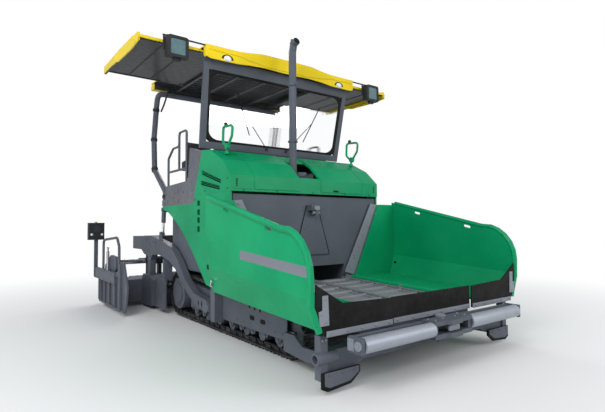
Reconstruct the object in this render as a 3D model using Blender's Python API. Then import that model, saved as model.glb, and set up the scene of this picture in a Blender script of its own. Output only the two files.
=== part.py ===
"""Crawler-mounted asphalt paver: tractor, hopper, push rollers, canopy, augers and extending screed.

Metres, +X is the travel direction, +Y the left side, +Z up, ground at z = 0.
The frame's origin is on the ground under the middle of the machine.
"""

import math

import bmesh
import bpy
from mathutils import Matrix, Vector

# ---- driving dimensions -------------------------------------------------------------------

body_half = 1.28            # half width of hood, platform and side panels
canopy_half = 1.34          # half width of the fixed roof
conveyor_half = 0.60        # half width of the conveyor tunnel
crawler_length = 3.06       # sprocket axle to idler axle
sprocket_x = -1.05
sprocket_radius = 0.355
idler_radius = 0.26
shoe_width = 0.305
track_depth = 0.075         # shoe and chain together
shoe_pitch = 0.16
deck_top = 1.845
deck_depth = 0.10
hood_base = 1.86
hood_rise = 0.61            # hood base to its highest line
roof_base = 3.74
roof_rise = 0.12
hopper_length = 2.03
screed_depth = 0.54         # fore and aft
screed_base = 0.05
gate_reach = 0.505          # how far each extension stands out at rest
awning_reach = 0.85         # how far each awning stands out at rest
auger_radius = 0.17
roller_radius = 0.07
pipe_radius = 0.055

sheet = 0.02                # folded sheet, also the hood's wall
plate = 0.03
seat = 0.0003               # gap between faces that rest on each other
running = 0.01              # gap beside a moving piece

# ---- positions that follow from them -------------------------------------------------------

track_outer = body_half - 0.18
track_inner = track_outer - shoe_width
idler_x = sprocket_x + crawler_length
hopper_rear = idler_x - 0.97
hopper_front = hopper_rear + hopper_length
hopper_half = body_half + 0.34
hood_front = hopper_rear - running
rear_x = sprocket_x - 0.21          # rear wall of the tractor
frame_half = conveyor_half + 0.04
hinge_y = frame_half + 0.045
arm_inner = track_outer + 0.045
arm_outer = body_half - 0.035
tow_x, tow_z = sprocket_x + 1.35, 0.33
screed_front = sprocket_x - 0.75
screed_rear = screed_front - screed_depth
screed_top = 0.575
gate_y = body_half + gate_reach
auger_x, auger_z = sprocket_x - sprocket_radius - auger_radius - 0.025, 0.40
roller_x, roller_z = hopper_front + 0.15, 0.43
beam_pivot_x = hopper_front + 0.03
hood_top = hood_base + hood_rise
roof_top = roof_base + roof_rise
roof_front, roof_rear = 0.42, -1.70
deck_front = -0.067


# ---- helpers ------------------------------------------------------------------------------

for old in list(bpy.data.objects):
    bpy.data.objects.remove(old, do_unlink=True)

paver = bpy.data.collections.new("asphalt_paver")
cutters = bpy.data.collections.new("cutters_and_joiners")
bpy.context.scene.collection.children.link(paver)
bpy.context.scene.collection.children.link(cutters)
cutters.hide_render = True


def material(name, colour, roughness, metallic=0.0):
    made = bpy.data.materials.new(name)
    made.use_nodes = True
    shader = made.node_tree.nodes["Principled BSDF"]
    shader.inputs["Base Color"].default_value = (*colour, 1.0)
    shader.inputs["Roughness"].default_value = roughness
    shader.inputs["Metallic"].default_value = metallic
    return made


palette = {
    "green": ((0.0, 0.33, 0.15), 0.35, 0.0),
    "slate": ((0.13, 0.145, 0.17), 0.5, 0.2),
    "dark": ((0.03, 0.032, 0.036), 0.6, 0.0),
    "yellow": ((0.82, 0.66, 0.01), 0.4, 0.0),
    "rubber": ((0.012, 0.012, 0.012), 0.8, 0.0),
    "chrome": ((0.62, 0.63, 0.65), 0.2, 1.0),
    "track": ((0.09, 0.095, 0.10), 0.6, 0.6),
    "roller": ((0.42, 0.44, 0.47), 0.35, 0.7),
    "glass": ((0.35, 0.40, 0.42), 0.05, 0.0),
}


def mesh_object(name, bm):
    mesh = bpy.data.meshes.new(name)
    bm.to_mesh(mesh)
    bm.free()
    made = bpy.data.objects.new(name, mesh)
    cutters.objects.link(made)
    made.display_type = "WIRE"
    made.hide_render = True
    return made


def box(x0, x1, y0, y1, z0, z1):
    """Block between opposite corners."""
    bm = bmesh.new()
    middle = Vector(((x0 + x1) / 2, (y0 + y1) / 2, (z0 + z1) / 2))
    size = Matrix.Diagonal((abs(x1 - x0), abs(y1 - y0), abs(z1 - z0), 1))
    bmesh.ops.create_cube(bm, size=1, matrix=Matrix.Translation(middle) @ size)
    return mesh_object("block", bm)


def rod(start, end, radius, sides=16, radius_end=None):
    """Cylinder, or cone, from one point to another."""
    start, end = Vector(start), Vector(end)
    along = end - start
    bm = bmesh.new()
    turn = along.to_track_quat("Z", "Y").to_matrix().to_4x4()
    bmesh.ops.create_cone(
        bm, cap_ends=True, segments=sides, radius1=radius,
        radius2=radius if radius_end is None else radius_end, depth=along.length,
        matrix=Matrix.Translation((start + end) / 2) @ turn)
    return mesh_object("rod", bm)


def mesh_from_curve(curve_object):
    """The curve as a mesh with its caps welded; the curve is removed."""
    bpy.context.view_layer.update()
    graph = bpy.context.evaluated_depsgraph_get()
    mesh = bpy.data.meshes.new_from_object(curve_object.evaluated_get(graph))
    bm = bmesh.new()
    bm.from_mesh(mesh)
    bmesh.ops.remove_doubles(bm, verts=bm.verts, dist=0.00002)
    bm.transform(curve_object.matrix_world)
    bmesh.ops.recalc_face_normals(bm, faces=bm.faces)
    bpy.data.meshes.remove(mesh)
    made = mesh_object("from_curve", bm)
    bpy.data.objects.remove(curve_object, do_unlink=True)
    return made


def outline(rings, axis, low, high):
    """Flat outline, with any holes as further rings, extruded along an axis.

    The rings hold (x, z) for axis y, (y, z) for axis x and (x, y) for axis z.
    """
    curve = bpy.data.curves.new("outline", "CURVE")
    curve.dimensions = "2D"
    curve.fill_mode = "BOTH"
    curve.extrude = (high - low) / 2
    for ring in rings:
        spline = curve.splines.new("POLY")
        spline.points.add(len(ring) - 1)
        for point, (u, v) in zip(spline.points, ring):
            point.co = (u, v, 0, 1)
        spline.use_cyclic_u = True
    made = bpy.data.objects.new("outline", curve)
    bpy.context.scene.collection.objects.link(made)
    middle = (low + high) / 2
    if axis == "y":
        made.matrix_world = Matrix.Translation((0, middle, 0)) @ Matrix.Rotation(math.pi / 2, 4, "X")
    elif axis == "x":
        made.matrix_world = Matrix(((0, 0, 1, middle), (1, 0, 0, 0), (0, 1, 0, 0), (0, 0, 0, 1)))
    else:
        made.matrix_world = Matrix.Translation((0, 0, middle))
    return mesh_from_curve(made)


def rounded(points, radius, steps=4):
    """The path with each inner corner replaced by a short arc of the given radius."""
    points = [Vector(p) for p in points]
    path = [points[0]]
    for before, corner, after in zip(points, points[1:], points[2:]):
        a, b = (before - corner).normalized(), (after - corner).normalized()
        half = a.angle(b) / 2
        cut = min(radius / math.tan(half), (before - corner).length * 0.49, (after - corner).length * 0.49)
        start, end = corner + a * cut, corner + b * cut
        for k in range(steps + 1):
            t = k / steps
            path.append(start * (1 - t) ** 2 + corner * 2 * t * (1 - t) + end * t ** 2)
    path.append(points[-1])
    return path


def tube(points, radius, bend=0.08, resolution=2, steps=4):
    """Round bar along a path with rounded corners."""
    path = rounded(points, bend, steps) if len(points) > 2 else [Vector(p) for p in points]
    curve = bpy.data.curves.new("tube", "CURVE")
    curve.dimensions = "3D"
    curve.bevel_depth = radius
    curve.bevel_resolution = resolution
    curve.use_fill_caps = True
    spline = curve.splines.new("POLY")
    spline.points.add(len(path) - 1)
    for point, where in zip(spline.points, path):
        point.co = (*where, 1)
    made = bpy.data.objects.new("tube", curve)
    bpy.context.scene.collection.objects.link(made)
    return mesh_from_curve(made)


def combine(base, others, operation):
    for other in others:
        step = base.modifiers.new(operation.lower(), "BOOLEAN")
        step.operation = operation
        step.solver = "EXACT"
        step.object = other
    return base


def join(base, *others):
    return combine(base, others, "UNION")


def cut(base, *others):
    return combine(base, others, "DIFFERENCE")


def node(name, base, colour, smooth=False):
    """Makes a shape one of the paver's pieces."""
    base.name = base.data.name = name
    cutters.objects.unlink(base)
    paver.objects.link(base)
    base.hide_render = False
    base.display_type = "TEXTURED"
    base.data.materials.append(material(name, *palette[colour]))
    if smooth:
        base.data.shade_smooth()
        base.data.set_sharp_from_angle(angle=math.radians(35))
    return base


def pivot(name, where, *pieces):
    """Empty on a joint's axis that carries the joint's pieces."""
    empty = bpy.data.objects.new(name, None)
    empty.location = where
    empty.empty_display_size = 0.15
    paver.objects.link(empty)
    bpy.context.view_layer.update()
    for piece in pieces:
        piece.parent = empty
        piece.matrix_parent_inverse = empty.matrix_world.inverted()
    return empty


def span(side, inner, outer):
    """(low, high) along Y for a range measured outward from the centre plane."""
    return tuple(sorted((side * inner, side * outer)))


def line(x, x0, z0, x1, z1):
    return z0 + (z1 - z0) * (x - x0) / (x1 - x0)


# ---- crawlers -------------------------------------------------------------------------------

def loop_point(distance, inset):
    """Point (x, z) on the crawler's loop, inset from the shoes' outer faces."""
    big, small = sprocket_radius - inset, idler_radius - inset
    lean = 2 * math.atan2(sprocket_radius - idler_radius, crawler_length)
    front_arc, rear_arc = (math.pi - lean) * small, (math.pi + lean) * big
    total = 2 * crawler_length + front_arc + rear_arc
    s = distance % 1.0 * total
    if s < crawler_length:
        return sprocket_x + s, inset
    s -= crawler_length
    if s < front_arc:
        turn = s / small
        return idler_x + small * math.sin(turn), idler_radius - small * math.cos(turn)
    s -= front_arc
    if s < crawler_length:
        turn = math.pi - lean
        x = idler_x + small * math.sin(turn) - s * math.cos(lean)
        return x, idler_radius - small * math.cos(turn) + s * math.sin(lean)
    turn = math.pi - lean + (s - crawler_length) / big
    return sprocket_x + big * math.sin(turn), sprocket_radius - big * math.cos(turn)


loop_length = 2 * crawler_length + math.pi * (sprocket_radius + idler_radius - track_depth)
shoe_count = round(loop_length / shoe_pitch)
shoe_ring = []
for shoe in range(shoe_count):
    for share, inset in ((0.06, 0.0), (0.80, 0.0), (0.84, 0.022), (1.02, 0.022)):
        shoe_ring.append(loop_point((shoe + share) / shoe_count, inset))
lean = 2 * math.atan2(sprocket_radius - idler_radius, crawler_length)
inner_ring = []
for k in range(17):
    turn = (math.pi - lean) * k / 16
    radius = idler_radius - track_depth
    inner_ring.append((idler_x + radius * math.sin(turn), idler_radius - radius * math.cos(turn)))
for k in range(17):
    turn = math.pi - lean + (math.pi + lean) * k / 16
    radius = sprocket_radius - track_depth
    inner_ring.append((sprocket_x + radius * math.sin(turn), sprocket_radius - radius * math.cos(turn)))
frame_bottom = 0.20
track_sag = (sprocket_radius - idler_radius) * 2 / crawler_length


def under_top_run(x, gap):
    """Height that stays the gap below the inner face of the upper run."""
    return 2 * sprocket_radius - track_depth - gap - track_sag * (x - sprocket_x)


cover_rear, cover_front = tow_x + 0.10, idler_x - 0.03
for side, letter in ((-1, "r"), (1, "l")):
    low, high = span(side, track_inner, track_outer)
    node(f"track_{letter}", outline([shoe_ring, inner_ring], "y", low, high), "track")

    beam_rear, beam_front = sprocket_x + 0.45, idler_x - 0.12
    low, high = span(side, frame_half + seat, track_outer - 0.02)
    beam = outline([[
        (beam_rear, frame_bottom), (beam_front - 0.15, frame_bottom), (beam_front, 0.26),
        (beam_front, under_top_run(beam_front, 0.04)), (beam_rear, under_top_run(beam_rear, 0.05)),
    ]], "y", low, high)
    y_in, y_out = side * (frame_half + seat), side * (track_outer - 0.004)
    y_mid = side * (track_inner + 0.03)
    drive = rod((sprocket_x, side * (track_inner + 0.01), sprocket_radius),
                (sprocket_x, y_out, sprocket_radius), 0.24, 24)
    drive_arm = box(sprocket_x, beam_rear + 0.05, *span(side, track_inner - 0.07, track_inner + 0.05), 0.27, 0.44)
    idler = rod((idler_x, y_mid, idler_radius), (idler_x, side * (track_outer - 0.06), idler_radius),
                idler_radius - track_depth - 0.006, 20)
    idler_arm = box(beam_front - 0.05, idler_x + 0.04, *span(side, track_inner + 0.05, track_outer - 0.03),
                    idler_radius - 0.04, idler_radius + 0.04)
    rollers = []
    wheel_z = track_depth + 0.075 + seat
    roller_step = (beam_front - beam_rear - 0.3) / 6
    for k in range(7):
        x = beam_rear + 0.15 + k * roller_step
        rollers.append(rod((x, y_mid, wheel_z), (x, side * (track_outer - 0.05), wheel_z), 0.075, 12))
    cover = outline([[
        (cover_rear, frame_bottom), (cover_front - 0.08, frame_bottom), (cover_front, 0.27),
        (cover_front, 0.50), (cover_front - 0.25, 0.54), (cover_rear, 0.60),
    ]], "y", *span(side, track_outer + 0.005, track_outer + 0.02))
    neck = box(cover_rear + 0.15, cover_front - 0.15, *span(side, track_outer - 0.03, track_outer + 0.012),
               0.26, 0.36)
    guide = box(cover_rear, cover_rear + 0.12, *span(side, track_outer + 0.01, arm_outer), 0.17, 0.62)
    lug = box(tow_x - 0.05, cover_rear + 0.03, *span(side, track_outer + 0.008, arm_inner - seat), 0.28, 0.38)
    pin = rod((tow_x, side * (arm_inner - 0.02), tow_z), (tow_x, side * (arm_outer + 0.004), tow_z), 0.028)
    node(f"track_frame_{letter}", join(beam, drive_arm, drive, idler_arm, idler, neck, cover, guide, lug, pin,
                                       *rollers), "slate")

# ---- main frame -----------------------------------------------------------------------------

slab_top, tunnel_floor, tunnel_roof, roof_slab = 0.50, 0.56, 0.86, 0.95
frame_rear = rear_x - 0.02
frame_front = hopper_front - 0.21
shelf = 2 * sprocket_radius + 0.04
front_floor_x = hopper_rear - 0.08
main = outline([
    [(-frame_half, 0.30), (frame_half, 0.30), (frame_half, roof_slab), (-frame_half, roof_slab)],
    [(-conveyor_half, tunnel_floor), (conveyor_half, tunnel_floor), (conveyor_half, tunnel_roof),
     (-conveyor_half, tunnel_roof)],
], "x", frame_rear, front_floor_x)
join(main, box(front_floor_x - 0.05, frame_front, -frame_half + plate, frame_half - plate, 0.32, slab_top))
for side in (-1, 1):
    join(
        main,
        box(rear_x, front_floor_x - 0.02, *span(side, frame_half - 0.012, track_outer + 0.008), shelf, shelf + plate),
        box(rear_x + 0.003, rear_x + plate, *span(side, conveyor_half + 0.02, track_outer + 0.009), shelf + 0.01,
            deck_top - deck_depth - seat),
        outline([[
            (rear_x - 0.002, shelf + 0.012), (front_floor_x - 0.01, shelf + 0.012), (front_floor_x - 0.01, 1.20),
            (0.40, deck_top - deck_depth - seat), (rear_x - 0.002, deck_top - deck_depth - seat),
        ]], "y", *span(side, track_outer, track_outer + 0.02)),
    )
join(main, box(rear_x + 0.005, rear_x + plate - 0.002, -conveyor_half - 0.04, conveyor_half + 0.04, roof_slab - 0.03,
               deck_top - deck_depth - 0.002))
node("main_frame", main, "slate")

engine_x0, engine_x1 = deck_front + 0.02, hood_front - 0.20
engine_top = hood_base - 0.10
node("engine_block", box(engine_x0, engine_x1, -0.80, 0.80, roof_slab + seat, engine_top), "dark")

# ---- front frame, bumper and rubber deflectors -------------------------------------------------

beam_x0, beam_x1 = frame_front + seat, frame_front + 0.10
post_y = body_half + 0.12
strip_x = hopper_front - 0.07
strip_plate = 0.011         # thin enough for the side flaps to pass in front of the centre one
front = box(beam_x0, beam_x1, -post_y - 0.01, post_y + 0.01, 0.24, 0.36)
join(
    front,
    box(beam_x0, strip_x - 0.005, -conveyor_half, conveyor_half, 0.34, slab_top),
    box(strip_x + seat, strip_x + strip_plate, -conveyor_half - 0.02, conveyor_half + 0.02, 0.44, 0.565),
    box(strip_x - 0.02, strip_x + 0.01, -conveyor_half, conveyor_half, 0.45, slab_top - 0.01),
    box(beam_x0 + 0.03, beam_pivot_x + 0.05, -0.09, 0.09, 0.27, 0.30 - seat),
)
arm_x = idler_x + 0.05
for side in (-1, 1):
    join(
        front,
        box(beam_x0 + 0.04, beam_x1 + 0.02, *span(side, post_y, post_y + 0.08), 0.12, 0.50),
        outline([[
            (arm_x, 0.14), (arm_x + 0.35, 0.11), (beam_x0 + 0.06, 0.13), (beam_x0 + 0.06, 0.25),
            (arm_x + 0.32, 0.24), (arm_x + 0.18, 0.33), (arm_x, 0.33),
        ]], "y", *span(side, post_y - 0.21, post_y - 0.18)),
        box(beam_x0 + 0.03, beam_x0 + 0.09, *span(side, post_y - 0.20, post_y + 0.02), 0.13, 0.25),
        rod((beam_x1 + 0.005, side * (post_y - 0.1), 0.31), (beam_x1 + 0.005, side * (post_y + 0.13), 0.31), 0.05),
    )
    cut(front, rod((beam_x1 + 0.005, side * (post_y + 0.05), 0.31), (beam_x1 + 0.005, side * (post_y + 0.2), 0.31),
                   0.036))
node("front_frame", front, "slate")
for side, letter in ((-1, "r"), (1, "l")):
    guard = outline([[
        (side * (post_y - 0.36), 0.19), (side * (post_y - 0.36), 0.13), (side * (post_y - 0.25), 0.05),
        (side * (post_y + 0.02), 0.03), (side * (post_y + 0.08), 0.06), (side * (post_y + 0.08), 0.19),
    ]], "x", beam_x1 + 0.02 + seat, beam_x1 + 0.04)
    node(f"rubber_deflector_{letter}", guard, "rubber")

# ---- push rollers ---------------------------------------------------------------------------

bracket_in, bracket_out = 0.30, body_half - 0.01
roller_beam = box(beam_pivot_x - 0.015, beam_pivot_x + 0.035, -bracket_out, bracket_out, 0.37, 0.49)
roller_front = roller_x + 0.045
join(
    roller_beam,
    rod((beam_pivot_x, 0, 0.30), (beam_pivot_x, 0, 0.38), 0.05),
    outline([[
        (beam_pivot_x, -bracket_in), (roller_front, -bracket_in), (roller_front, -0.12), (roller_front + 0.035, -0.09),
        (roller_front + 0.035, 0.09), (roller_front, 0.12), (roller_front, bracket_in), (beam_pivot_x, bracket_in),
    ]], "z", 0.46, 0.505),
    outline([[
        (beam_pivot_x, -bracket_in), (roller_front, -bracket_in), (roller_front, -0.12), (roller_front + 0.035, -0.09),
        (roller_front + 0.035, 0.09), (roller_front, 0.12), (roller_front, bracket_in), (beam_pivot_x, bracket_in),
    ]], "z", 0.335, 0.38),
    box(beam_pivot_x + 0.01, roller_front - 0.01, -bracket_in, -bracket_in + 0.05, 0.36, 0.48),
    box(beam_pivot_x + 0.01, roller_front - 0.01, bracket_in - 0.05, bracket_in, 0.36, 0.48),
)
for side in (-1, 1):
    join(roller_beam, box(beam_pivot_x, roller_x + 0.05, *span(side, bracket_out - 0.03, bracket_out), 0.36, 0.50))
node("roller_beam", roller_beam, "slate")
for side, letter in ((-1, "r"), (1, "l")):
    inner, outer = bracket_in + 0.006, bracket_out - 0.036
    barrel = rod((roller_x, side * inner, roller_z), (roller_x, side * outer, roller_z), roller_radius, 28)
    spindle = rod((roller_x, side * (bracket_in + seat), roller_z),
                  (roller_x, side * (bracket_out - 0.03 - seat), roller_z), 0.022)
    pivot(f"roller_axis_{letter}", (roller_x, 0, roller_z),
          node(f"push_roller_{letter}", join(barrel, spindle), "roller", smooth=True))

# ---- hopper ---------------------------------------------------------------------------------

floor_rear = front_floor_x + seat
hinge_rear_z, hinge_front_z = 0.675, 0.59


def hinge_z(x):
    return line(x, hopper_rear, hinge_rear_z, hopper_front, hinge_front_z)


def floor_z(x):
    return hinge_z(x) - 0.03


floor = outline([[
    (floor_rear, slab_top + seat), (strip_x, slab_top + seat), (strip_x, floor_z(strip_x)),
    (floor_rear, floor_z(floor_rear)),
]], "y", -frame_half, frame_half)
rail_rings = [(floor_rear, floor_z(floor_rear) - 0.02), (strip_x, floor_z(strip_x) - 0.02),
              (strip_x, floor_z(strip_x) + 0.025), (floor_rear, floor_z(floor_rear) + 0.025)]
join(floor, outline([rail_rings], "y", -0.04, 0.04))
lug_stations = (hopper_rear + 0.03, (hopper_rear + strip_x) / 2, strip_x - 0.04)
lug_half = 0.02
axis_run = Vector((1, 0, (hinge_front_z - hinge_rear_z) / hopper_length)).normalized()
for side in (-1, 1):
    join(floor, outline([rail_rings], "y", *span(side, conveyor_half - 0.01, frame_half)))
    for station in lug_stations:
        middle = Vector((station, side * hinge_y, hinge_z(station)))
        join(
            floor,
            rod(middle - axis_run * lug_half, middle + axis_run * lug_half, 0.022, 12),
            box(station - 0.015, station + 0.015, *span(side, frame_half - 0.02, hinge_y), middle.z - 0.02,
                middle.z + 0.012),
        )
node("hopper_floor", floor, "slate")

wall_front = hopper_rear - 0.04
wall_top, wall_half = hood_base - 0.03, body_half - 0.04
bulkhead = outline([[
    (-wall_half, wall_top), (-wall_half, wall_top - 0.12), (-frame_half - 0.02, 0.72), (-conveyor_half, 0.70),
    (-conveyor_half, tunnel_roof), (conveyor_half, tunnel_roof), (conveyor_half, 0.70), (frame_half + 0.02, 0.72),
    (wall_half, wall_top - 0.12), (wall_half, wall_top),
]], "x", front_floor_x + seat, wall_front)
join(
    bulkhead,
    outline([[(-0.30, 1.02), (0.30, 1.02), (0.09, wall_top - 0.12), (-0.09, wall_top - 0.12)]], "x",
            wall_front - 0.01, wall_front + 0.012),
    box(wall_front, wall_front + 0.10, -0.075, 0.075, wall_top - 0.20, wall_top - 0.12),
    box(wall_front, wall_front + 0.13, -0.025, 0.025, wall_top - 0.27, wall_top - 0.15),
)
for side in (-1, 1):
    join(bulkhead, outline([[
        (side * (frame_half - 0.03), 0.76), (side * (frame_half + 0.04), 0.76),
        (side * (wall_half - 0.01), wall_top - 0.10), (side * (wall_half - 0.09), wall_top - 0.10),
    ]], "x", wall_front - 0.01, wall_front + 0.028))
node("hopper_rear_wall", bulkhead, "slate")

wing_front = strip_x + 0.03
wing_inner = hinge_y + 0.03
top_rear_z, top_front_z = 1.78, 1.31


def wing_section(x):
    """(distance from centre, height) of the wing's outside corner points at one station."""
    share = (x - hopper_rear) / (wing_front - hopper_rear)
    crease = 0.655 + (0.55 - 0.655) * share
    fold = 0.955 + (0.82 - 0.955) * share
    top = top_rear_z + (top_front_z - top_rear_z) * share
    return [(wing_inner, hinge_z(x) - sheet / 2), (hopper_half - 0.10, crease), (hopper_half, fold), (hopper_half, top)]


def wing_ring(x):
    """The sheet's closed outline at one station."""
    inner, crease, fold, top = wing_section(x)
    return [inner, crease, fold, top, (top[0] - sheet, top[1]), (fold[0] - sheet, fold[1] + 0.004),
            (crease[0] - 0.011, crease[1] + sheet), (inner[0], inner[1] + sheet)]


for side, letter in ((-1, "r"), (1, "l")):
    bm = bmesh.new()
    ends = [[bm.verts.new((x, side * y, z)) for y, z in wing_ring(x)] for x in (hopper_rear, wing_front)]
    for k in range(8):
        bm.faces.new((ends[0][k], ends[0][(k + 1) % 8], ends[1][(k + 1) % 8], ends[1][k]))
    for ring in ends:
        bm.faces.new(ring)
    bmesh.ops.recalc_face_normals(bm, faces=bm.faces)
    wing = mesh_object("wing", bm)
    corner = 0.42
    far = 3.0
    front_top = wing_section(wing_front)[3][1]
    arc = []
    for k in range(7):
        angle = math.pi / 2 * k / 6
        arc.append((wing_front - corner + corner * math.sin(angle),
                    front_top + 0.105 - corner + corner * math.cos(angle)))
    cut(wing, outline([[(wing_front + 0.2, arc[-1][1]), (wing_front + 0.2, far), (arc[0][0], far)] + arc], "y",
                      *span(side, hopper_half - 0.08, hopper_half + 0.1)))
    for middle in (1.545, 2.385):
        slot = [(middle + dx, wing_section(middle + dx)[3][1] - 0.058 + dz)
                for dx, dz in ((-0.055, 0), (-0.044, 0.016), (0.044, 0.016), (0.055, 0), (0.044, -0.016), (-0.044, -0.016))]
        cut(wing, outline([slot], "y", *span(side, hopper_half - 0.08, hopper_half + 0.1)))
    bead = [(hopper_rear + 0.06, side * hopper_half, wing_section(hopper_rear + 0.06)[3][1]),
            (arc[0][0] - 0.02, side * hopper_half, arc[0][1] - 0.005)]
    bead += [(x, side * hopper_half, z) for x, z in arc[1:]]
    foot = wing_section(wing_front)
    bead += [(wing_front - 0.005, side * hopper_half, foot[2][1] - 0.05)]
    rear_z = hinge_z(hopper_rear)
    rear_plate = outline([[
        (side * (wing_inner + 0.05), rear_z + 0.02), (side * (wall_half + 0.02), wall_top - 0.09),
        (side * (hopper_half - 0.007), wall_top - 0.09), (side * (hopper_half - 0.007), 0.96),
        (side * (hopper_half - 0.105), 0.667), (side * (wing_inner + 0.05), rear_z - 0.003),
    ]], "x", hopper_rear + 0.02, hopper_rear + 0.02 + sheet)
    knuckles = []
    for first, last in zip(lug_stations, lug_stations[1:]):
        a = Vector((first, side * hinge_y, hinge_z(first))) + axis_run * (lug_half + seat)
        b = Vector((last, side * hinge_y, hinge_z(last))) - axis_run * (lug_half + seat)
        knuckles.append(rod(a, b, 0.034, 12))
    join(wing, tube(bead, 0.032, 0.02, 1, 1), rear_plate, *knuckles)
    node(f"hopper_wing_{letter}", wing, "green", smooth=True)
    flap = outline([[
        (side * (frame_half + 0.01), 0.51), (side * (frame_half + 0.01), 0.748), (side * (hopper_half - 0.34), 0.768),
        (side * (hopper_half - 0.045), 0.945), (side * (hopper_half - 0.045), 0.60),
        (side * (hopper_half - 0.12), 0.55), (side * (hopper_half - 0.14), 0.51),
    ]], "x", wing_front + seat, wing_front + 0.015)
    node(f"apron_flap_{letter}", flap, "rubber")
    pivot(f"wing_hinge_{letter}", (hopper_rear, side * hinge_y, hinge_z(hopper_rear)),
          bpy.data.objects[f"hopper_wing_{letter}"], bpy.data.objects[f"apron_flap_{letter}"])

node("apron_flap_centre",
     box(strip_x + strip_plate + seat, strip_x + strip_plate + 0.015, -conveyor_half - 0.035, conveyor_half + 0.035,
         0.50, 0.75),
     "rubber")

# ---- hood and side panels --------------------------------------------------------------------

hood_rear_low, hood_rear_high = deck_front + 0.007, 0.20
nose_top, brow = hood_base + 0.20, hood_base + 0.41
hood_ring = [(hood_rear_low, hood_base + seat), (hood_front, hood_base + seat), (hood_front, nose_top),
             (hood_front - 0.23, brow), (0.45, hood_top - 0.03), (hood_rear_high, hood_top)]
inner_ring = [(hood_rear_low + 0.03, hood_base - 0.1), (hood_front - sheet, hood_base - 0.1),
              (hood_front - sheet, nose_top - 0.01), (hood_front - 0.24, brow - 0.022),
              (0.45, hood_top - 0.052), (hood_rear_high + 0.02, hood_top - sheet)]
hood = outline([hood_ring], "y", -body_half, body_half)
recess_y0, recess_y1 = -0.22, 0.13
cut(
    hood,
    outline([inner_ring], "y", -body_half + sheet, body_half - sheet),
    box(hood_front - 0.40, hood_front - 0.03, recess_y0, recess_y1, nose_top + 0.02, hood_top + 0.1),
    box(hood_front - 0.35, hood_front + 0.1, recess_y0, recess_y1, nose_top + 0.02, nose_top + 0.12),
)
louvres = ((0.20, 2.13, 0.76, 1.97), (0.17, 1.99, 0.73, 1.83 + 0.06))
for side in (-1, 1):
    for x0, z0, x1, z1 in louvres:
        cut(hood, outline([[(x0, z0), (x1, z1), (x1, z1 + 0.05), (x0, z0 + 0.06)]], "y",
                          *span(side, body_half - 0.05, body_half + 0.05)))
node("engine_hood", hood, "green")

panel_top_rear = deck_top - deck_depth - seat
for side, letter in ((-1, "r"), (1, "l")):
    edge = [(-1.28, 1.70), (-1.0, 1.625), (-0.72, 1.488), (-0.48, 1.35), (-0.26, 1.18), (-0.06, 1.02),
            (0.115, 0.85), (0.34, 0.64), (hopper_rear - 0.02, 0.60)]
    panel = outline([[(-1.28, panel_top_rear)] + edge + [
        (hopper_rear - 0.02, hood_base), (deck_front + 0.007, hood_base), (deck_front + 0.004, panel_top_rear)]],
        "y", *span(side, body_half - sheet, body_half))
    for z in (1.745, 1.62, 1.51, 1.386):
        cut(panel, box(0.05, 0.13, *span(side, body_half - 0.05, body_half + 0.05), z - 0.04, z + 0.035))
    node(f"side_panel_{letter}", panel, "green")

# ---- exhaust and hood handles ----------------------------------------------------------------

pipe_x, pipe_y = hood_front - 0.27, recess_y0 + 0.075
pipe_top = roof_top + 0.06
tip_low, tip_high = Vector((pipe_x, pipe_y, pipe_top)), Vector((pipe_x + 0.05, pipe_y, pipe_top + 0.16))
exhaust = tube([(pipe_x, pipe_y, engine_top + seat), tip_low, tip_high], pipe_radius, 0.05, 2, 2)
join(
    exhaust,
    rod((pipe_x, pipe_y, 3.42), (pipe_x, pipe_y, 3.46), pipe_radius + 0.012, 16),
    rod((pipe_x + 0.02, pipe_y + 0.13, engine_top + seat), (pipe_x + 0.02, pipe_y + 0.13, nose_top + 0.12), 0.085, 16),
    box(pipe_x - 0.02, pipe_x + 0.04, pipe_y, pipe_y + 0.12, nose_top - 0.1, nose_top + 0.02),
)
cut(exhaust, rod(tip_low.lerp(tip_high, 0.5), tip_low.lerp(tip_high, 1.4), pipe_radius - 0.012, 12))
node("exhaust_pipe", exhaust, "slate", smooth=True)

for side, letter in ((-1, "r"), (1, "l")):
    y = side * (body_half - 0.16)
    foot_x = 0.62
    foot_z = line(foot_x, 0.45, hood_top - 0.03, hood_front - 0.23, brow)
    loop = tube([(foot_x, y, foot_z + 0.02), (foot_x, y, foot_z + 0.10), (foot_x - 0.11, y, foot_z + 0.20),
                 (foot_x - 0.10, y, foot_z + 0.40), (foot_x + 0.16, y, foot_z + 0.38),
                 (foot_x + 0.14, y, foot_z + 0.24), (foot_x + 0.05, y, foot_z + 0.14)], 0.017, 0.05, 1, 3)
    base = rod((foot_x, y, foot_z + 0.0149), (foot_x, y, foot_z + 0.05), 0.03, 12)
    boss = rod((foot_x + 0.015, y - 0.022, foot_z + 0.12), (foot_x + 0.015, y + 0.022, foot_z + 0.12), 0.042, 16)
    knob = rod((foot_x - 0.03, y, foot_z + 0.38), (foot_x - 0.03, y, foot_z + 0.44), 0.02, 10)
    node(f"hood_handle_{letter}", join(loop, base, boss, knob), "green", smooth=True)

# ---- operator platform -----------------------------------------------------------------------

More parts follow.
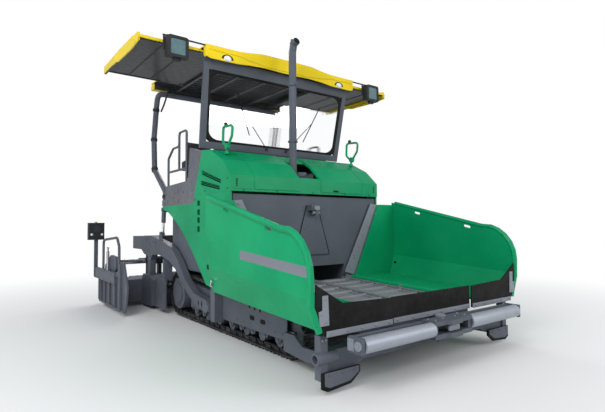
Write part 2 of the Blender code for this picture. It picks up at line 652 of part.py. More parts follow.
deck = box(rear_x - 0.057, deck_front, -body_half, body_half, deck_top - deck_depth, deck_top)
cylinder_y = (arm_inner + arm_outer) / 2
side_plate_x = rear_x + 0.06
for side in (-1, 1):
    join(
        deck,
        outline([[
            (side_plate_x, deck_top - 0.01), (side_plate_x, 2.06), (-0.30, 2.09), (-0.24, 2.56), (0.175, 2.465),
            (hood_rear_low - 0.012, hood_base), (hood_rear_low - 0.012, deck_top - 0.01),
        ]], "y", *span(side, body_half - 0.035, body_half - 0.01)),
        outline([[
            (rear_x - 0.04, deck_top - deck_depth + 0.01), (rear_x - 0.04, deck_top - 0.01),
            (rear_x - 0.25, deck_top - 0.10), (rear_x - 0.25, deck_top - 0.19), (rear_x - 0.16, deck_top - 0.19),
        ]], "y", *span(side, cylinder_y - 0.065, cylinder_y - 0.04)),
    )
node("platform_deck", deck, "slate")

dash_top = hood_top + 0.045
dash = outline([[
    (-0.09, deck_top + seat), (0.15, hood_top - 0.03), (0.15, dash_top), (0.04, dash_top), (-0.04, dash_top + 0.045),
    (-0.20, hood_top - 0.08), (-0.16, deck_top + seat),
]], "y", -body_half + 0.30, body_half - 0.30)
node("dashboard", dash, "dark")

seat_x, seat_y = -0.72, body_half - 0.48
for side, letter in ((-1, "r"), (1, "l")):
    y = side * seat_y
    pedestal = rod((seat_x, y, deck_top + seat), (seat_x, y, deck_top + 0.36), 0.09, 16)
    pan = box(seat_x - 0.24, seat_x + 0.24, y - 0.23, y + 0.23, deck_top + 0.34, deck_top + 0.46)
    back = outline([[
        (seat_x - 0.26, deck_top + 0.42), (seat_x - 0.14, deck_top + 0.42), (seat_x - 0.19, deck_top + 0.95),
        (seat_x - 0.29, deck_top + 0.95),
    ]], "y", y - 0.22, y + 0.22)
    arms = [box(seat_x - 0.20, seat_x + 0.16, y + k * 0.27 - 0.045, y + k * 0.27 + 0.045, deck_top + 0.44,
                deck_top + 0.62) for k in (-1, 1)]
    pivot(f"seat_swivel_{letter}", (seat_x, y, deck_top),
          node(f"operator_seat_{letter}", join(pedestal, pan, back, *arms), "dark"))

rail_radius = 0.018
for side, letter in ((-1, "r"), (1, "l")):
    y = side * (body_half - 0.0225)
    foot, front_foot = (line(x, side_plate_x, 2.06, -0.30, 2.09) + 0.001 for x in (-1.10, -0.38))
    outer = tube([(-1.10, y, foot), (-1.10, y, 2.50), (-0.90, y, 2.64), (-0.66, y, 2.64), (-0.66, y, 2.85),
                  (-0.38, y, 2.85), (-0.38, y, 2.60), (-0.38, y, front_foot)], rail_radius, 0.06, 1, 3)
    middle = tube([(-0.66, y, 2.70), (-0.66, y, 2.27)], rail_radius, 0.05, 1)
    cross = tube([(-1.10, y, 2.28), (-0.38, y, 2.28)], rail_radius, 0.05, 1)
    node(f"handrail_{letter}", join(outer, middle, cross), "slate", smooth=True)

# ---- windshield, rear hoop and canopy ----------------------------------------------------------

lean = math.atan2(0.22, 1.16)
shield_half = 0.02          # half the frame's thickness
shield_dip = shield_half * math.sin(lean)
shield_foot = Vector((0.085, 0, dash_top + seat + shield_dip))
shield_rise = (roof_base - seat - shield_dip - shield_foot.z) / math.cos(lean)
shield_turn = Matrix.Translation(shield_foot) @ Matrix.Rotation(lean, 4, "Y")


def shield_ring(inset_side, inset_low, inset_high):
    low_half, high_half = body_half - 0.01 - inset_side, body_half + 0.03 - inset_side
    return [(-low_half, inset_low), (low_half, inset_low), (high_half, shield_rise - inset_high),
            (-high_half, shield_rise - inset_high)]


shield = outline([shield_ring(0, 0, 0), shield_ring(0.085, 0.10, 0.15)], "x", -shield_half, shield_half)
shield.data.transform(shield_turn)
node("windshield_frame", shield, "slate")
glass = outline([shield_ring(0.085 + seat, 0.10 + seat, 0.15 + seat)], "x", -0.003, 0.003)
glass.data.transform(shield_turn)
node("windshield_glass", glass, "glass")

hoop_y = body_half - 0.04
hoop_z = roof_base - 0.04504 - seat
hoop = tube([
    (rear_x - 0.005, -hoop_y, deck_top + seat), (rear_x - 0.005, -hoop_y, deck_top + 0.14), (-1.80, -hoop_y, 2.40),
    (-1.84, -hoop_y, 2.95), (roof_rear - 0.02, -hoop_y, 3.50), (roof_rear + 0.05, -hoop_y, hoop_z),
    (roof_rear + 0.05, 0, hoop_z), (roof_rear + 0.05, hoop_y, hoop_z), (roof_rear - 0.02, hoop_y, 3.50),
    (-1.84, hoop_y, 2.95), (-1.80, hoop_y, 2.40), (rear_x - 0.005, hoop_y, deck_top + 0.14),
    (rear_x - 0.005, hoop_y, deck_top + seat),
], 0.048, 0.12, 2, 4)
node("canopy_rear_hoop", hoop, "slate", smooth=True)

skin_z = roof_top - sheet
roof = box(roof_rear, roof_front, -canopy_half, canopy_half, skin_z, roof_top)
front_bar = outline([[
    (-canopy_half, roof_base), (-0.55, roof_base), (-0.30, roof_base - 0.012), (0.30, roof_base - 0.012),
    (0.55, roof_base), (canopy_half, roof_base), (canopy_half, roof_top - 0.002), (0.80, roof_top - 0.002),
    (0.45, roof_top + 0.05), (-0.45, roof_top + 0.05), (-0.80, roof_top - 0.002), (-canopy_half, roof_top - 0.002),
]], "x", roof_front - 0.045, roof_front + 0.02)
join(roof, front_bar, box(roof_rear - 0.005, roof_rear + 0.11, -canopy_half + 0.005, canopy_half - 0.005, roof_base,
                          roof_top - 0.005))
rib_top = roof_base + 0.025
for y in (-0.95, -0.48, 0.0, 0.48, 0.95):
    join(roof, box(roof_rear + 0.05, roof_front - 0.02, y - 0.02, y + 0.02, roof_base + 0.002, rib_top))
node("canopy_roof", roof, "yellow")

awning_z0, awning_z1 = rib_top + 0.012, rib_top + 0.038
awning_front, awning_rear = roof_front - 0.07, roof_rear + 0.45
for side, letter in ((-1, "r"), (1, "l")):
    tip = canopy_half + awning_reach
    sheet_out = box(awning_rear, awning_front, *span(side, tip - 1.27, tip), awning_z0, awning_z1)
    lip = box(awning_rear, awning_front, *span(side, tip - 0.01, tip + 0.02), awning_z0 - 0.045, roof_top - sheet - 0.005)
    for shoe_x in (awning_rear + 0.06, awning_front - 0.06):
        join(sheet_out, box(shoe_x - 0.03, shoe_x + 0.03, *span(side, tip - 1.27, tip - 1.15), awning_z0 - 0.0117,
                            awning_z0 + 0.005))
    node(f"canopy_awning_{letter}", join(sheet_out, lip), "yellow")

for side, letter in ((-1, "r"), (1, "l")):
    lamp = box(roof_front - 0.01, roof_front + 0.09, *span(side, canopy_half + 0.27, canopy_half + 0.55), 3.57, 3.83)
    join(
        lamp,
        box(roof_front - 0.005, roof_front + 0.015, *span(side, canopy_half + seat, canopy_half + 0.58), 3.84, 3.855),
        box(roof_front - 0.005, roof_front + 0.015, *span(side, canopy_half + 0.555, canopy_half + 0.575), 3.66, 3.85),
        rod((roof_front + 0.005, side * (canopy_half + 0.25), 3.70), (roof_front + 0.005, side * (canopy_half + 0.57), 3.70),
            0.012, 10),
        box(roof_front - 0.005, roof_front + 0.015, *span(side, canopy_half + 0.235, canopy_half + 0.255), 3.66, 3.85),
        box(roof_front + 0.02, roof_front + 0.06, *span(side, canopy_half + 0.36, canopy_half + 0.46), 3.53, 3.58),
    )
    node(f"floodlight_{letter}", lamp, "dark")

# ---- auger ------------------------------------------------------------------------------------

cross_z0, cross_z1 = 0.875, 0.98
case_half = 0.11
plate_y = body_half - 0.06
auger_frame = box(auger_x - 0.06, frame_rear - seat, -track_outer - 0.03, track_outer + 0.03, cross_z0, cross_z1)
join(auger_frame, outline([[
    (auger_x - 0.08, auger_z - 0.12), (auger_x + 0.08, auger_z - 0.12), (auger_x + 0.09, auger_z + 0.1),
    (auger_x + 0.06, cross_z0 + 0.02), (auger_x - 0.05, cross_z0 + 0.02), (auger_x - 0.09, auger_z + 0.1),
]], "y", -case_half, case_half))
for side in (-1, 1):
    join(
        auger_frame,
        box(rear_x - 0.10, rear_x - 0.03, *span(side, track_outer + 0.01, plate_y + 0.03), 0.54, cross_z0 + 0.01),
        outline([[
            (auger_x - 0.07, 0.07), (rear_x - 0.01, 0.07), (rear_x + 0.01, 0.10), (rear_x + 0.01, 0.57),
            (auger_x - 0.07, 0.55),
        ]], "y", *span(side, plate_y, plate_y + 0.025)),
    )
node("auger_frame", auger_frame, "slate")

flight_turns, flight_steps, shaft_radius = 3, 16, 0.045
auger_in, auger_out = case_half + 0.006, plate_y - running
for side, letter in ((-1, "r"), (1, "l")):
    shaft = rod((auger_x, side * (case_half + seat), auger_z), (auger_x, side * (auger_out + 0.0097), auger_z),
                shaft_radius, 12)
    bm = bmesh.new()
    sections = []
    count = flight_turns * flight_steps
    run = auger_out - 0.06 - (auger_in + 0.03)
    for k in range(count + 1):
        turn = side * 2 * math.pi * k / flight_steps
        along = auger_in + 0.03 + run * k / count
        ring = []
        for radius, shift in ((shaft_radius - 0.012, -0.008), (auger_radius, -0.008), (auger_radius, 0.008),
                              (shaft_radius - 0.012, 0.008)):
            ring.append(bm.verts.new((auger_x + radius * math.cos(turn), side * (along + shift),
                                      auger_z + radius * math.sin(turn))))
        sections.append(ring)
    for first, last in zip(sections, sections[1:]):
        for k in range(4):
            bm.faces.new((first[k], first[(k + 1) % 4], last[(k + 1) % 4], last[k]))
    bm.faces.new(sections[0])
    bm.faces.new(sections[-1])
    bmesh.ops.recalc_face_normals(bm, faces=bm.faces)
    flight = mesh_object("flight", bm)
    pivot(f"auger_axis_{letter}", (auger_x, 0, auger_z), node(f"auger_{letter}", join(shaft, flight), "track"))

# ---- tow arms and screed ------------------------------------------------------------------------

tube_x, tube_z, tube_radius = screed_rear + 0.12, 0.81, 0.05
sleeve_radius = tube_radius + 0.018
leg_x0, leg_x1 = tube_x + sleeve_radius + 0.035, screed_front - 0.17
cover_z0, cover_z1 = 1.0, 1.235
cover_rear_x = screed_rear - 0.62
arm_upper = [(tow_x + 0.07, 0.29), (tow_x + 0.07, 0.375), (0.24, 0.428), (-0.15, 0.475), (-0.44, 0.632),
             (-0.71, 0.879), (-0.90, 1.02), (-1.04, 1.09), (-1.26, 1.151), (-1.60, 1.205), (-1.88, 1.25)]
arm_rear = [(cover_rear_x, cover_z1), (cover_rear_x, cover_z0), (tube_x - 0.24, cover_z0), (tube_x - 0.09, 0.925),
            (leg_x0, 0.905), (leg_x0, screed_top)]
arm_lower = [(leg_x1, screed_top), (leg_x1 + 0.01, 0.84), (leg_x1 + 0.10, 0.93), (-1.55, 0.945), (-1.35, 0.92),
             (-1.10, 0.87), (-0.83, 0.76), (-0.60, 0.60), (-0.40, 0.461), (-0.15, 0.34), (0.24, 0.254)]
screed_bodies = []
eye_x, eye_z = -1.50, 1.29
for side, letter in ((-1, "r"), (1, "l")):
    arm = outline([arm_upper + arm_rear + arm_lower], "y", *span(side, arm_inner, arm_outer))
    cut(arm, rod((tow_x, side * (arm_inner - 0.05), tow_z), (tow_x, side * (arm_outer + 0.05), tow_z), 0.030))
    join(arm, outline([[(eye_x - 0.09, 1.16), (eye_x + 0.09, 1.13), (eye_x + 0.04, eye_z + 0.04),
                        (eye_x - 0.04, eye_z + 0.04)]], "y", *span(side, cylinder_y + 0.028, cylinder_y + 0.045)))
    screed_bodies.append(node(f"tow_arm_{letter}", arm, "slate"))

screed_half = body_half - 0.01
main_screed = outline([[
    (screed_front, screed_base + 0.03), (screed_front - 0.03, screed_base), (screed_rear, screed_base),
    (screed_rear, 0.46), (screed_rear + 0.06, screed_top - seat), (screed_front - 0.10, screed_top - seat),
    (screed_front, 0.50),
]], "y", -screed_half, screed_half)
for side in (-1, 1):
    sleeve = rod((tube_x, side * 0.30, tube_z), (tube_x, side * (arm_inner - 0.02), tube_z), sleeve_radius, 20)
    join(main_screed, sleeve)
    for y in (0.42, 1.0):
        join(main_screed, box(tube_x - 0.05, tube_x + 0.05, *span(side, y - 0.03, y + 0.03), screed_top - 0.03, tube_z))
for side in (-1, 1):
    cut(main_screed, rod((tube_x, side * 0.25, tube_z), (tube_x, side * (arm_inner + 0.05), tube_z),
                         tube_radius + 0.001, 20))
screed_bodies.append(node("screed_main", main_screed, "slate"))

walkway_z = 0.40
walkway_rear = cover_rear_x - 0.31
cover_half = arm_inner - seat
walkway = box(cover_rear_x, screed_rear - 0.06, -cover_half, cover_half, cover_z1 - 0.05, cover_z1)
join(
    walkway,
    box(cover_rear_x, cover_rear_x + 0.03, -cover_half, cover_half, cover_z0, cover_z1 - 0.02),
    box(screed_rear - 0.09, screed_rear - 0.06, -cover_half, cover_half, cover_z0, cover_z1 - 0.02),
    box(walkway_rear, cover_rear_x - 0.01, -body_half + 0.05, body_half - 0.05, walkway_z, walkway_z + 0.04),
)
for y in (-0.95, 0.0, 0.95):
    join(walkway, box(cover_rear_x - 0.03, cover_rear_x + 0.01, y - 0.04, y + 0.04, walkway_z + 0.01, cover_z1 - 0.06))
screed_bodies.append(node("screed_walkway", walkway, "dark"))
pivot("screed_lift", (tow_x, 0, tow_z), *screed_bodies)

ext_front, ext_rear = screed_rear - 0.012, cover_rear_x + 0.03
ext_top = 0.47
ext_length = 1.24
for side, letter in ((-1, "r"), (1, "l")):
    outer = gate_y - seat
    unit = outline([[
        (ext_front, screed_base + 0.02), (ext_front - 0.03, screed_base), (ext_rear, screed_base),
        (ext_rear, ext_top - 0.08), (ext_rear + 0.08, ext_top), (ext_front, ext_top),
    ]], "y", *span(side, outer - ext_length, outer))
    bracket = outline([[
        (ext_rear + 0.12, ext_top - 0.02), (ext_front - 0.01, ext_top - 0.02), (tube_x + 0.10, 0.70),
        (tube_x + 0.10, 0.90), (tube_x - 0.22, 0.92), (ext_rear + 0.12, 0.72),
    ]], "y", *span(side, outer - 0.05, outer))
    node(f"screed_extension_{letter}", join(unit, bracket), "slate")
    guide_tube = rod((tube_x, side * (outer - 0.05 - seat), tube_z), (tube_x, side * (outer - ext_length), tube_z),
                     tube_radius, 20)
    node(f"guide_tube_{letter}", guide_tube, "chrome", smooth=True)

    gate_front = screed_front + 0.45
    gate = outline([[
        (-3.10, screed_base), (gate_front - 0.10, screed_base), (gate_front - 0.01, 0.40), (gate_front, 0.46),
        (gate_front - 0.20, 0.84), (gate_front - 0.33, 0.84), (gate_front - 0.36, 0.66), (-3.04, 0.60),
        (-3.04, 0.20),
    ]], "y", *span(side, gate_y, gate_y + 0.03))
    bar = box(-3.30, gate_front - 0.55, *span(side, gate_y + 0.02, gate_y + 0.08), 0.47, 0.66)
    post = box(gate_front - 0.33, gate_front - 0.27, *span(side, gate_y + 0.02, gate_y + 0.07), screed_base + 0.02, 0.82)
    pole = box(-3.27, -3.21, *span(side, gate_y + 0.03, gate_y + 0.09), 0.50, 1.17)
    grab = tube([(-2.72, side * (gate_y + 0.05), 0.60), (-2.72, side * (gate_y + 0.05), 1.18),
                 (gate_front - 0.50, side * (gate_y + 0.05), 1.24), (gate_front - 0.38, side * (gate_y + 0.05), 1.10),
                 (gate_front - 0.36, side * (gate_y + 0.05), 0.60)], 0.022, 0.10, 1, 4)
    link = box(gate_front - 0.60, gate_front - 0.30, *span(side, gate_y + 0.02, gate_y + 0.06), 0.60, 0.66)
    node(f"end_gate_{letter}", join(gate, bar, post, pole, link, grab), "slate")
    box_y0, box_y1 = gate_y - 0.07, gate_y + 0.20
    control = box(-3.30, -3.17, *span(side, box_y0, box_y1), 1.17 + seat, 1.49)
    node(f"control_box_{letter}", control, "dark")
    pivot(f"screed_slide_{letter}", (screed_rear, side * gate_y, screed_base),
          *[bpy.data.objects[f"{part}_{letter}"]
            for part in ("screed_extension", "guide_tube", "end_gate", "control_box")])

# ---- screed lift cylinders -----------------------------------------------------------------------

top_x, top_z = -1.46, deck_top - 0.145
barrel_length, eye_radius = 0.22, 0.035
for side, letter in ((-1, "r"), (1, "l")):
    top = Vector((top_x, side * cylinder_y, top_z))
    eye = Vector((eye_x, side * cylinder_y, eye_z))
    way = (eye - top).normalized()
    across = Vector((0, 1, 0))
    barrel = rod(top, top + way * barrel_length, 0.036, 16)
    head = rod(top - across * side * 0.0395, top + across * side * 0.036, eye_radius, 12)
    join(barrel, head)
    bore_start = top + way * 0.03
    cut(barrel, rod(bore_start, top + way * (barrel_length + 0.05), 0.0217, 16))
    node(f"lift_cylinder_{letter}", barrel, "slate", smooth=True)
    piston = rod(top + way * 0.185, eye, 0.021, 16)
    eye_end = rod(eye - across * 0.022, eye + across * 0.022, eye_radius - 0.003, 12)
    node(f"lift_rod_{letter}", join(piston, eye_end), "chrome", smooth=True)
    pivot(f"cylinder_pin_{letter}", top, bpy.data.objects[f"lift_cylinder_{letter}"],
          bpy.data.objects[f"lift_rod_{letter}"])
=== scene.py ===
import bpy
import bmesh
import math
from mathutils import Matrix, Vector


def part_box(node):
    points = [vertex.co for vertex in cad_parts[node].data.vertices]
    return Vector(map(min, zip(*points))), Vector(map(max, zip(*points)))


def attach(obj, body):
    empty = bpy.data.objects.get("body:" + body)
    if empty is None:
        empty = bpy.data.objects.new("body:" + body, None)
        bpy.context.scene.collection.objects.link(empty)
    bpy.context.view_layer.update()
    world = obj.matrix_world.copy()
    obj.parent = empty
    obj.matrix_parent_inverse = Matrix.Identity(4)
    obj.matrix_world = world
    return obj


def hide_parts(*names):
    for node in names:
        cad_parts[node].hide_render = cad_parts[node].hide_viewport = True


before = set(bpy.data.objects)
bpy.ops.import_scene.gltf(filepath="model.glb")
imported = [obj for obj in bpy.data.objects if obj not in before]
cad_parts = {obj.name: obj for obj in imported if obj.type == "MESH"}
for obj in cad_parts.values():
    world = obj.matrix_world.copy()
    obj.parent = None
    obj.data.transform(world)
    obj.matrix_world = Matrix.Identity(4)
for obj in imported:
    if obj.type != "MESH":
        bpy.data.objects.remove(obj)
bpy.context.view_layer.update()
scene = bpy.context.scene
at = {name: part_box(name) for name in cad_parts}
sides = ((-1, "r"), (1, "l"))
print("frame loaded:", len(at), "nodes")


# camera, floor and light

view = {
    "place": (5.968, -3.928, 1.449), "turn": 52.82, "pitch": 2.25, "roll": -0.32, "lens": 27.0,
}
studio = {
    "floor": (0.80, 0.80, 0.80), "sky": 0.60, "key": 430, "fill": 230, "rim": 260, "low": 90,
}


def makeCamera():
    turn, pitch, roll = (math.radians(view[key]) for key in ("turn", "pitch", "roll"))
    ahead = Vector((-math.sin(turn) * math.cos(pitch), math.cos(turn) * math.cos(pitch), math.sin(pitch)))
    level = Vector((math.cos(turn), math.sin(turn), 0))
    above = level.cross(ahead)
    right = level * math.cos(roll) + above * math.sin(roll)
    up = above * math.cos(roll) - level * math.sin(roll)
    camera = bpy.data.objects.new("camera", bpy.data.cameras.new("camera"))
    camera.data.lens = view["lens"]
    camera.data.clip_end = 200
    turned = Matrix((right, up, -ahead)).transposed().to_4x4()
    camera.matrix_world = Matrix.Translation(view["place"]) @ turned
    scene.collection.objects.link(camera)
    scene.camera = camera


def makeLamp(name, place, target, size, power):
    lamp = bpy.data.objects.new(name, bpy.data.lights.new(name, "AREA"))
    lamp.data.shape = "RECTANGLE"
    lamp.data.size, lamp.data.size_y = size
    lamp.data.energy = power
    lamp.location = place
    lamp.rotation_euler = (Vector(target) - Vector(place)).to_track_quat("-Z", "Y").to_euler()
    scene.collection.objects.link(lamp)


def makeStudio():
    world = bpy.data.worlds.new("studio")
    scene.world = world
    world.use_nodes = True
    nodes, links = world.node_tree.nodes, world.node_tree.links
    back = nodes["Background"]
    back.inputs["Color"].default_value = (0.93, 0.96, 1.0, 1)
    back.inputs["Strength"].default_value = studio["sky"]
    white = nodes.new("ShaderNodeBackground")
    white.inputs["Color"].default_value = (1, 1, 1, 1)
    white.inputs["Strength"].default_value = 1.0
    path = nodes.new("ShaderNodeLightPath")
    seen = nodes.new("ShaderNodeMath")
    seen.operation = "MAXIMUM"
    links.new(path.outputs["Is Camera Ray"], seen.inputs[0])
    links.new(path.outputs["Is Transmission Ray"], seen.inputs[1])
    mix = nodes.new("ShaderNodeMixShader")
    links.new(seen.outputs[0], mix.inputs[0])
    links.new(back.outputs[0], mix.inputs[1])
    links.new(white.outputs[0], mix.inputs[2])
    links.new(mix.outputs[0], nodes["World Output"].inputs["Surface"])
    makeLamp("keyLight", (5.0, -7.5, 7.5), (0.4, 0, 1.2), (5, 5), studio["key"])
    makeLamp("fillLight", (9.0, 4.0, 4.0), (0.6, 0, 1.4), (6, 4), studio["fill"])
    makeLamp("rimLight", (-7.0, 3.0, 6.5), (-0.6, 0, 1.4), (5, 4), studio["rim"])
    makeLamp("lowLight", (2.5, -8.0, 1.3), (-0.5, 0, 0.7), (5, 2), studio["low"])

    bm = bmesh.new()
    bmesh.ops.create_grid(bm, x_segments=1, y_segments=1, size=45)
    mesh = bpy.data.meshes.new("floor")
    bm.to_mesh(mesh)
    bm.free()
    floor = bpy.data.objects.new("floor", mesh)
    floor.location.z = -0.002
    scene.collection.objects.link(floor)
    mat = bpy.data.materials.new("studioFloor")
    mat.use_nodes = True
    nodes, links = mat.node_tree.nodes, mat.node_tree.links
    shader = nodes["Principled BSDF"]
    shader.inputs["Base Color"].default_value = (*studio["floor"], 1)
    shader.inputs["Roughness"].default_value = 0.85
    # the floor runs out to plain white well away from the machine
    coords = nodes.new("ShaderNodeTexCoord")
    reach = nodes.new("ShaderNodeVectorMath")
    reach.operation = "LENGTH"
    links.new(coords.outputs["Object"], reach.inputs[0])
    fade = nodes.new("ShaderNodeMapRange")
    fade.interpolation_type = "SMOOTHSTEP"
    fade.inputs["From Min"].default_value = 2.6
    fade.inputs["From Max"].default_value = 9.0
    links.new(reach.outputs["Value"], fade.inputs["Value"])
    path = nodes.new("ShaderNodeLightPath")
    share = nodes.new("ShaderNodeMath")
    share.operation = "MULTIPLY"
    direct = nodes.new("ShaderNodeMath")
    direct.operation = "MAXIMUM"
    links.new(path.outputs["Is Camera Ray"], direct.inputs[0])
    links.new(path.outputs["Is Transmission Ray"], direct.inputs[1])
    links.new(fade.outputs[0], share.inputs[0])
    links.new(direct.outputs[0], share.inputs[1])
    plain = nodes.new("ShaderNodeEmission")
    mixer = nodes.new("ShaderNodeMixShader")
    links.new(share.outputs[0], mixer.inputs[0])
    links.new(shader.outputs[0], mixer.inputs[1])
    links.new(plain.outputs[0], mixer.inputs[2])
    links.new(mixer.outputs[0], nodes["Material Output"].inputs["Surface"])
    mesh.materials.append(mat)
    scene.view_settings.view_transform = "Standard"


makeCamera()
makeStudio()
print("camera, floor and light made")


# finishes

class Finish:
    # a Principled material with named steps, so each finish reads top to bottom
    def __init__(self, name, roughness, metallic=0.0, sheen=0.5):
        self.mat = bpy.data.materials.new(name)
        self.mat.use_nodes = True
        self.nodes, self.links = self.mat.node_tree.nodes, self.mat.node_tree.links
        self.shader = self.nodes["Principled BSDF"]
        self.shader.inputs["Metallic"].default_value = metallic
        self.shader.inputs["Specular IOR Level"].default_value = sheen
        self.coords = self.nodes.new("ShaderNodeTexCoord").outputs
        self.split = self.nodes.new("ShaderNodeSeparateXYZ")
        self.links.new(self.coords["Object"], self.split.inputs[0])
        self.facing = self.nodes.new("ShaderNodeSeparateXYZ")
        self.links.new(self.coords["Normal"], self.facing.inputs[0])
        self.roughness = roughness

    def noise(self, scale, detail=4.0, stretch=None):
        node = self.nodes.new("ShaderNodeTexNoise")
        node.inputs["Scale"].default_value = scale
        node.inputs["Detail"].default_value = detail
        source = self.coords["Object"]
        if stretch:
            mapping = self.nodes.new("ShaderNodeMapping")
            mapping.inputs["Scale"].default_value = stretch
            self.links.new(source, mapping.inputs["Vector"])
            source = mapping.outputs["Vector"]
        self.links.new(source, node.inputs["Vector"])
        return node.outputs["Fac"]

    def math(self, kind, a, b=0.5):
        node = self.nodes.new("ShaderNodeMath")
        node.operation = kind
        for socket, value in zip(node.inputs, (a, b)):
            if isinstance(value, (int, float)):
                socket.default_value = value
            else:
                self.links.new(value, socket)
        return node.outputs[0]

    def remap(self, value, low, high, outLow=0.0, outHigh=1.0):
        node = self.nodes.new("ShaderNodeMapRange")
        for key, number in (("From Min", low), ("From Max", high), ("To Min", outLow), ("To Max", outHigh)):
            node.inputs[key].default_value = number
        self.links.new(value, node.inputs["Value"])
        return node.outputs[0]

    def blend(self, share, a, b):
        node = self.nodes.new("ShaderNodeMix")
        node.data_type = "RGBA"
        self.links.new(share, node.inputs[0])
        for socket, value in ((node.inputs[6], a), (node.inputs[7], b)):
            if isinstance(value, tuple):
                socket.default_value = (*value, 1)
            else:
                self.links.new(value, socket)
        return node.outputs[2]

    def edge(self, radius):
        # rounded normal at sharp edges, and how far it turns from the flat one
        bevel = self.nodes.new("ShaderNodeBevel")
        bevel.samples = 4
        bevel.inputs["Radius"].default_value = radius
        shape = self.nodes.new("ShaderNodeNewGeometry")
        dot = self.nodes.new("ShaderNodeVectorMath")
        dot.operation = "DOT_PRODUCT"
        self.links.new(bevel.outputs[0], dot.inputs[0])
        self.links.new(shape.outputs["Normal"], dot.inputs[1])
        self.rounded = bevel.outputs[0]
        return self.remap(dot.outputs["Value"], 0.96, 0.74)

    def bump(self, height, strength, distance):
        node = self.nodes.new("ShaderNodeBump")
        node.inputs["Strength"].default_value = strength
        node.inputs["Distance"].default_value = distance
        self.links.new(height, node.inputs["Height"])
        if getattr(self, "rounded", None):
            self.links.new(self.rounded, node.inputs["Normal"])
        self.rounded = node.outputs[0]

    def close(self, colour, roughShare, swing=0.08, slot=None):
        self.links.new(colour, self.shader.inputs["Base Color"])
        rough = self.remap(roughShare, 0.3, 0.7, self.roughness - swing, self.roughness + swing)
        self.links.new(rough, self.shader.inputs["Roughness"])
        if getattr(self, "rounded", None):
            self.links.new(self.rounded, self.shader.inputs["Normal"])
        self.mat["recordSlot"] = slot
        return self.mat


dust = (0.22, 0.20, 0.175)


def shade(colour, share):
    return tuple(min(1.0, c * share) for c in colour)


def paint(name, colour, slot, roughness=0.40, gloss=0.06, worn=(0.30, 0.32, 0.34), wear=0.35, grime=0.08,
          mark=None):
    # sprayed machine paint: slight colour drift, orange peel, chipped edges, dust low down
    look = Finish(name, roughness, 0.0, 0.14)
    drift = look.remap(look.noise(1.7), 0.35, 0.65)
    deep = shade(colour, 0.90)
    bright = tuple(min(1.0, c * 1.07 + 0.004) for c in colour)
    base = look.blend(drift, deep, bright)
    if mark:
        base = mark(look, base)
    turned = look.edge(0.006)
    chips = look.remap(look.noise(38, 6), 0.52, 0.60)
    rubbed = look.math("MULTIPLY", look.math("MULTIPLY", turned, chips), wear)
    base = look.blend(rubbed, base, worn)
    low = look.remap(look.split.outputs["Z"], 0.95, 0.05)
    cloud = look.remap(look.noise(5.5, 7), 0.38, 0.72)
    dusty = look.math("MULTIPLY", look.math("MULTIPLY", low, cloud), grime)
    base = look.blend(dusty, base, dust)
    look.bump(look.noise(420, 2), 0.05, 0.0006)
    look.bump(look.noise(2.3, 1), 0.05, 0.01)
    look.shader.inputs["Coat Weight"].default_value = gloss
    look.shader.inputs["Coat Roughness"].default_value = 0.16
    return look.close(base, look.noise(14, 5), 0.07, slot)


def wingPaint(letter, side):
    # green sheet with the grey stripe along the front half of its outside
    stripe = {"start": 1.86, "end": 2.985, "rear": 1.135, "front": 1.045, "half": 0.046}

    def addStripe(look, base):
        x, z = look.split.outputs["X"], look.split.outputs["Z"]
        middle = look.remap(x, stripe["start"], stripe["end"], stripe["rear"], stripe["front"])
        near = look.math("COMPARE", z, middle)
        near.node.inputs[2].default_value = stripe["half"]
        inside = look.math("MULTIPLY", look.math("GREATER_THAN", x, stripe["start"]),
                           look.math("LESS_THAN", x, stripe["end"]))
        outward = look.math("GREATER_THAN", look.math("MULTIPLY", look.facing.outputs["Y"], side), 0.6)
        share = look.math("MULTIPLY", look.math("MULTIPLY", near, inside), outward)
        return look.blend(share, base, (0.19, 0.20, 0.235))

    return paint("wingGreen_" + letter, green, "green_paint", wear=0.3, mark=addStripe)


lining = {"half": 1.325, "front": 0.385, "rear": -1.69, "top": 3.855, "colour": (0.038, 0.039, 0.040)}


def underDark(look, base):
    # the canopy's sheets are lined dark grey below
    below = look.math("LESS_THAN", look.facing.outputs["Z"], -0.35)
    x, y, z = (look.split.outputs[key] for key in "XYZ")
    inside = look.math("LESS_THAN", look.math("ABSOLUTE", y), lining["half"])
    inside = look.math("MULTIPLY", inside, look.math("LESS_THAN", x, lining["front"]))
    inside = look.math("MULTIPLY", inside, look.math("GREATER_THAN", x, lining["rear"]))
    inside = look.math("MULTIPLY", inside, look.math("LESS_THAN", z, lining["top"]))
    return look.blend(look.math("MAXIMUM", below, inside), base, lining["colour"])


def treadPlate(name, colour, slot):
    look = Finish(name, 0.55)
    drift = look.remap(look.noise(2.2), 0.35, 0.65)
    base = look.blend(drift, shade(colour, 0.8), colour)
    turned = look.edge(0.005)
    base = look.blend(look.math("MULTIPLY", turned, 0.4), base, (0.32, 0.33, 0.35))
    waves = []
    for angle in (math.radians(45), math.radians(-45)):
        turn = look.nodes.new("ShaderNodeMapping")
        turn.inputs["Rotation"].default_value = (0, 0, angle)
        look.links.new(look.coords["Object"], turn.inputs["Vector"])
        wave = look.nodes.new("ShaderNodeTexWave")
        wave.inputs["Scale"].default_value = 9
        look.links.new(turn.outputs["Vector"], wave.inputs["Vector"])
        waves.append(look.remap(wave.outputs["Fac"], 0.72, 0.95))
    up = look.math("GREATER_THAN", look.facing.outputs["Z"], 0.7)
    studs = look.math("MULTIPLY", look.math("MAXIMUM", waves[0], waves[1]), up)
    look.bump(studs, 0.6, 0.003)
    cloud = look.remap(look.noise(6, 6), 0.4, 0.7, 0, 0.35)
    base = look.blend(cloud, base, dust)
    return look.close(base, look.noise(20, 5), 0.12, slot)


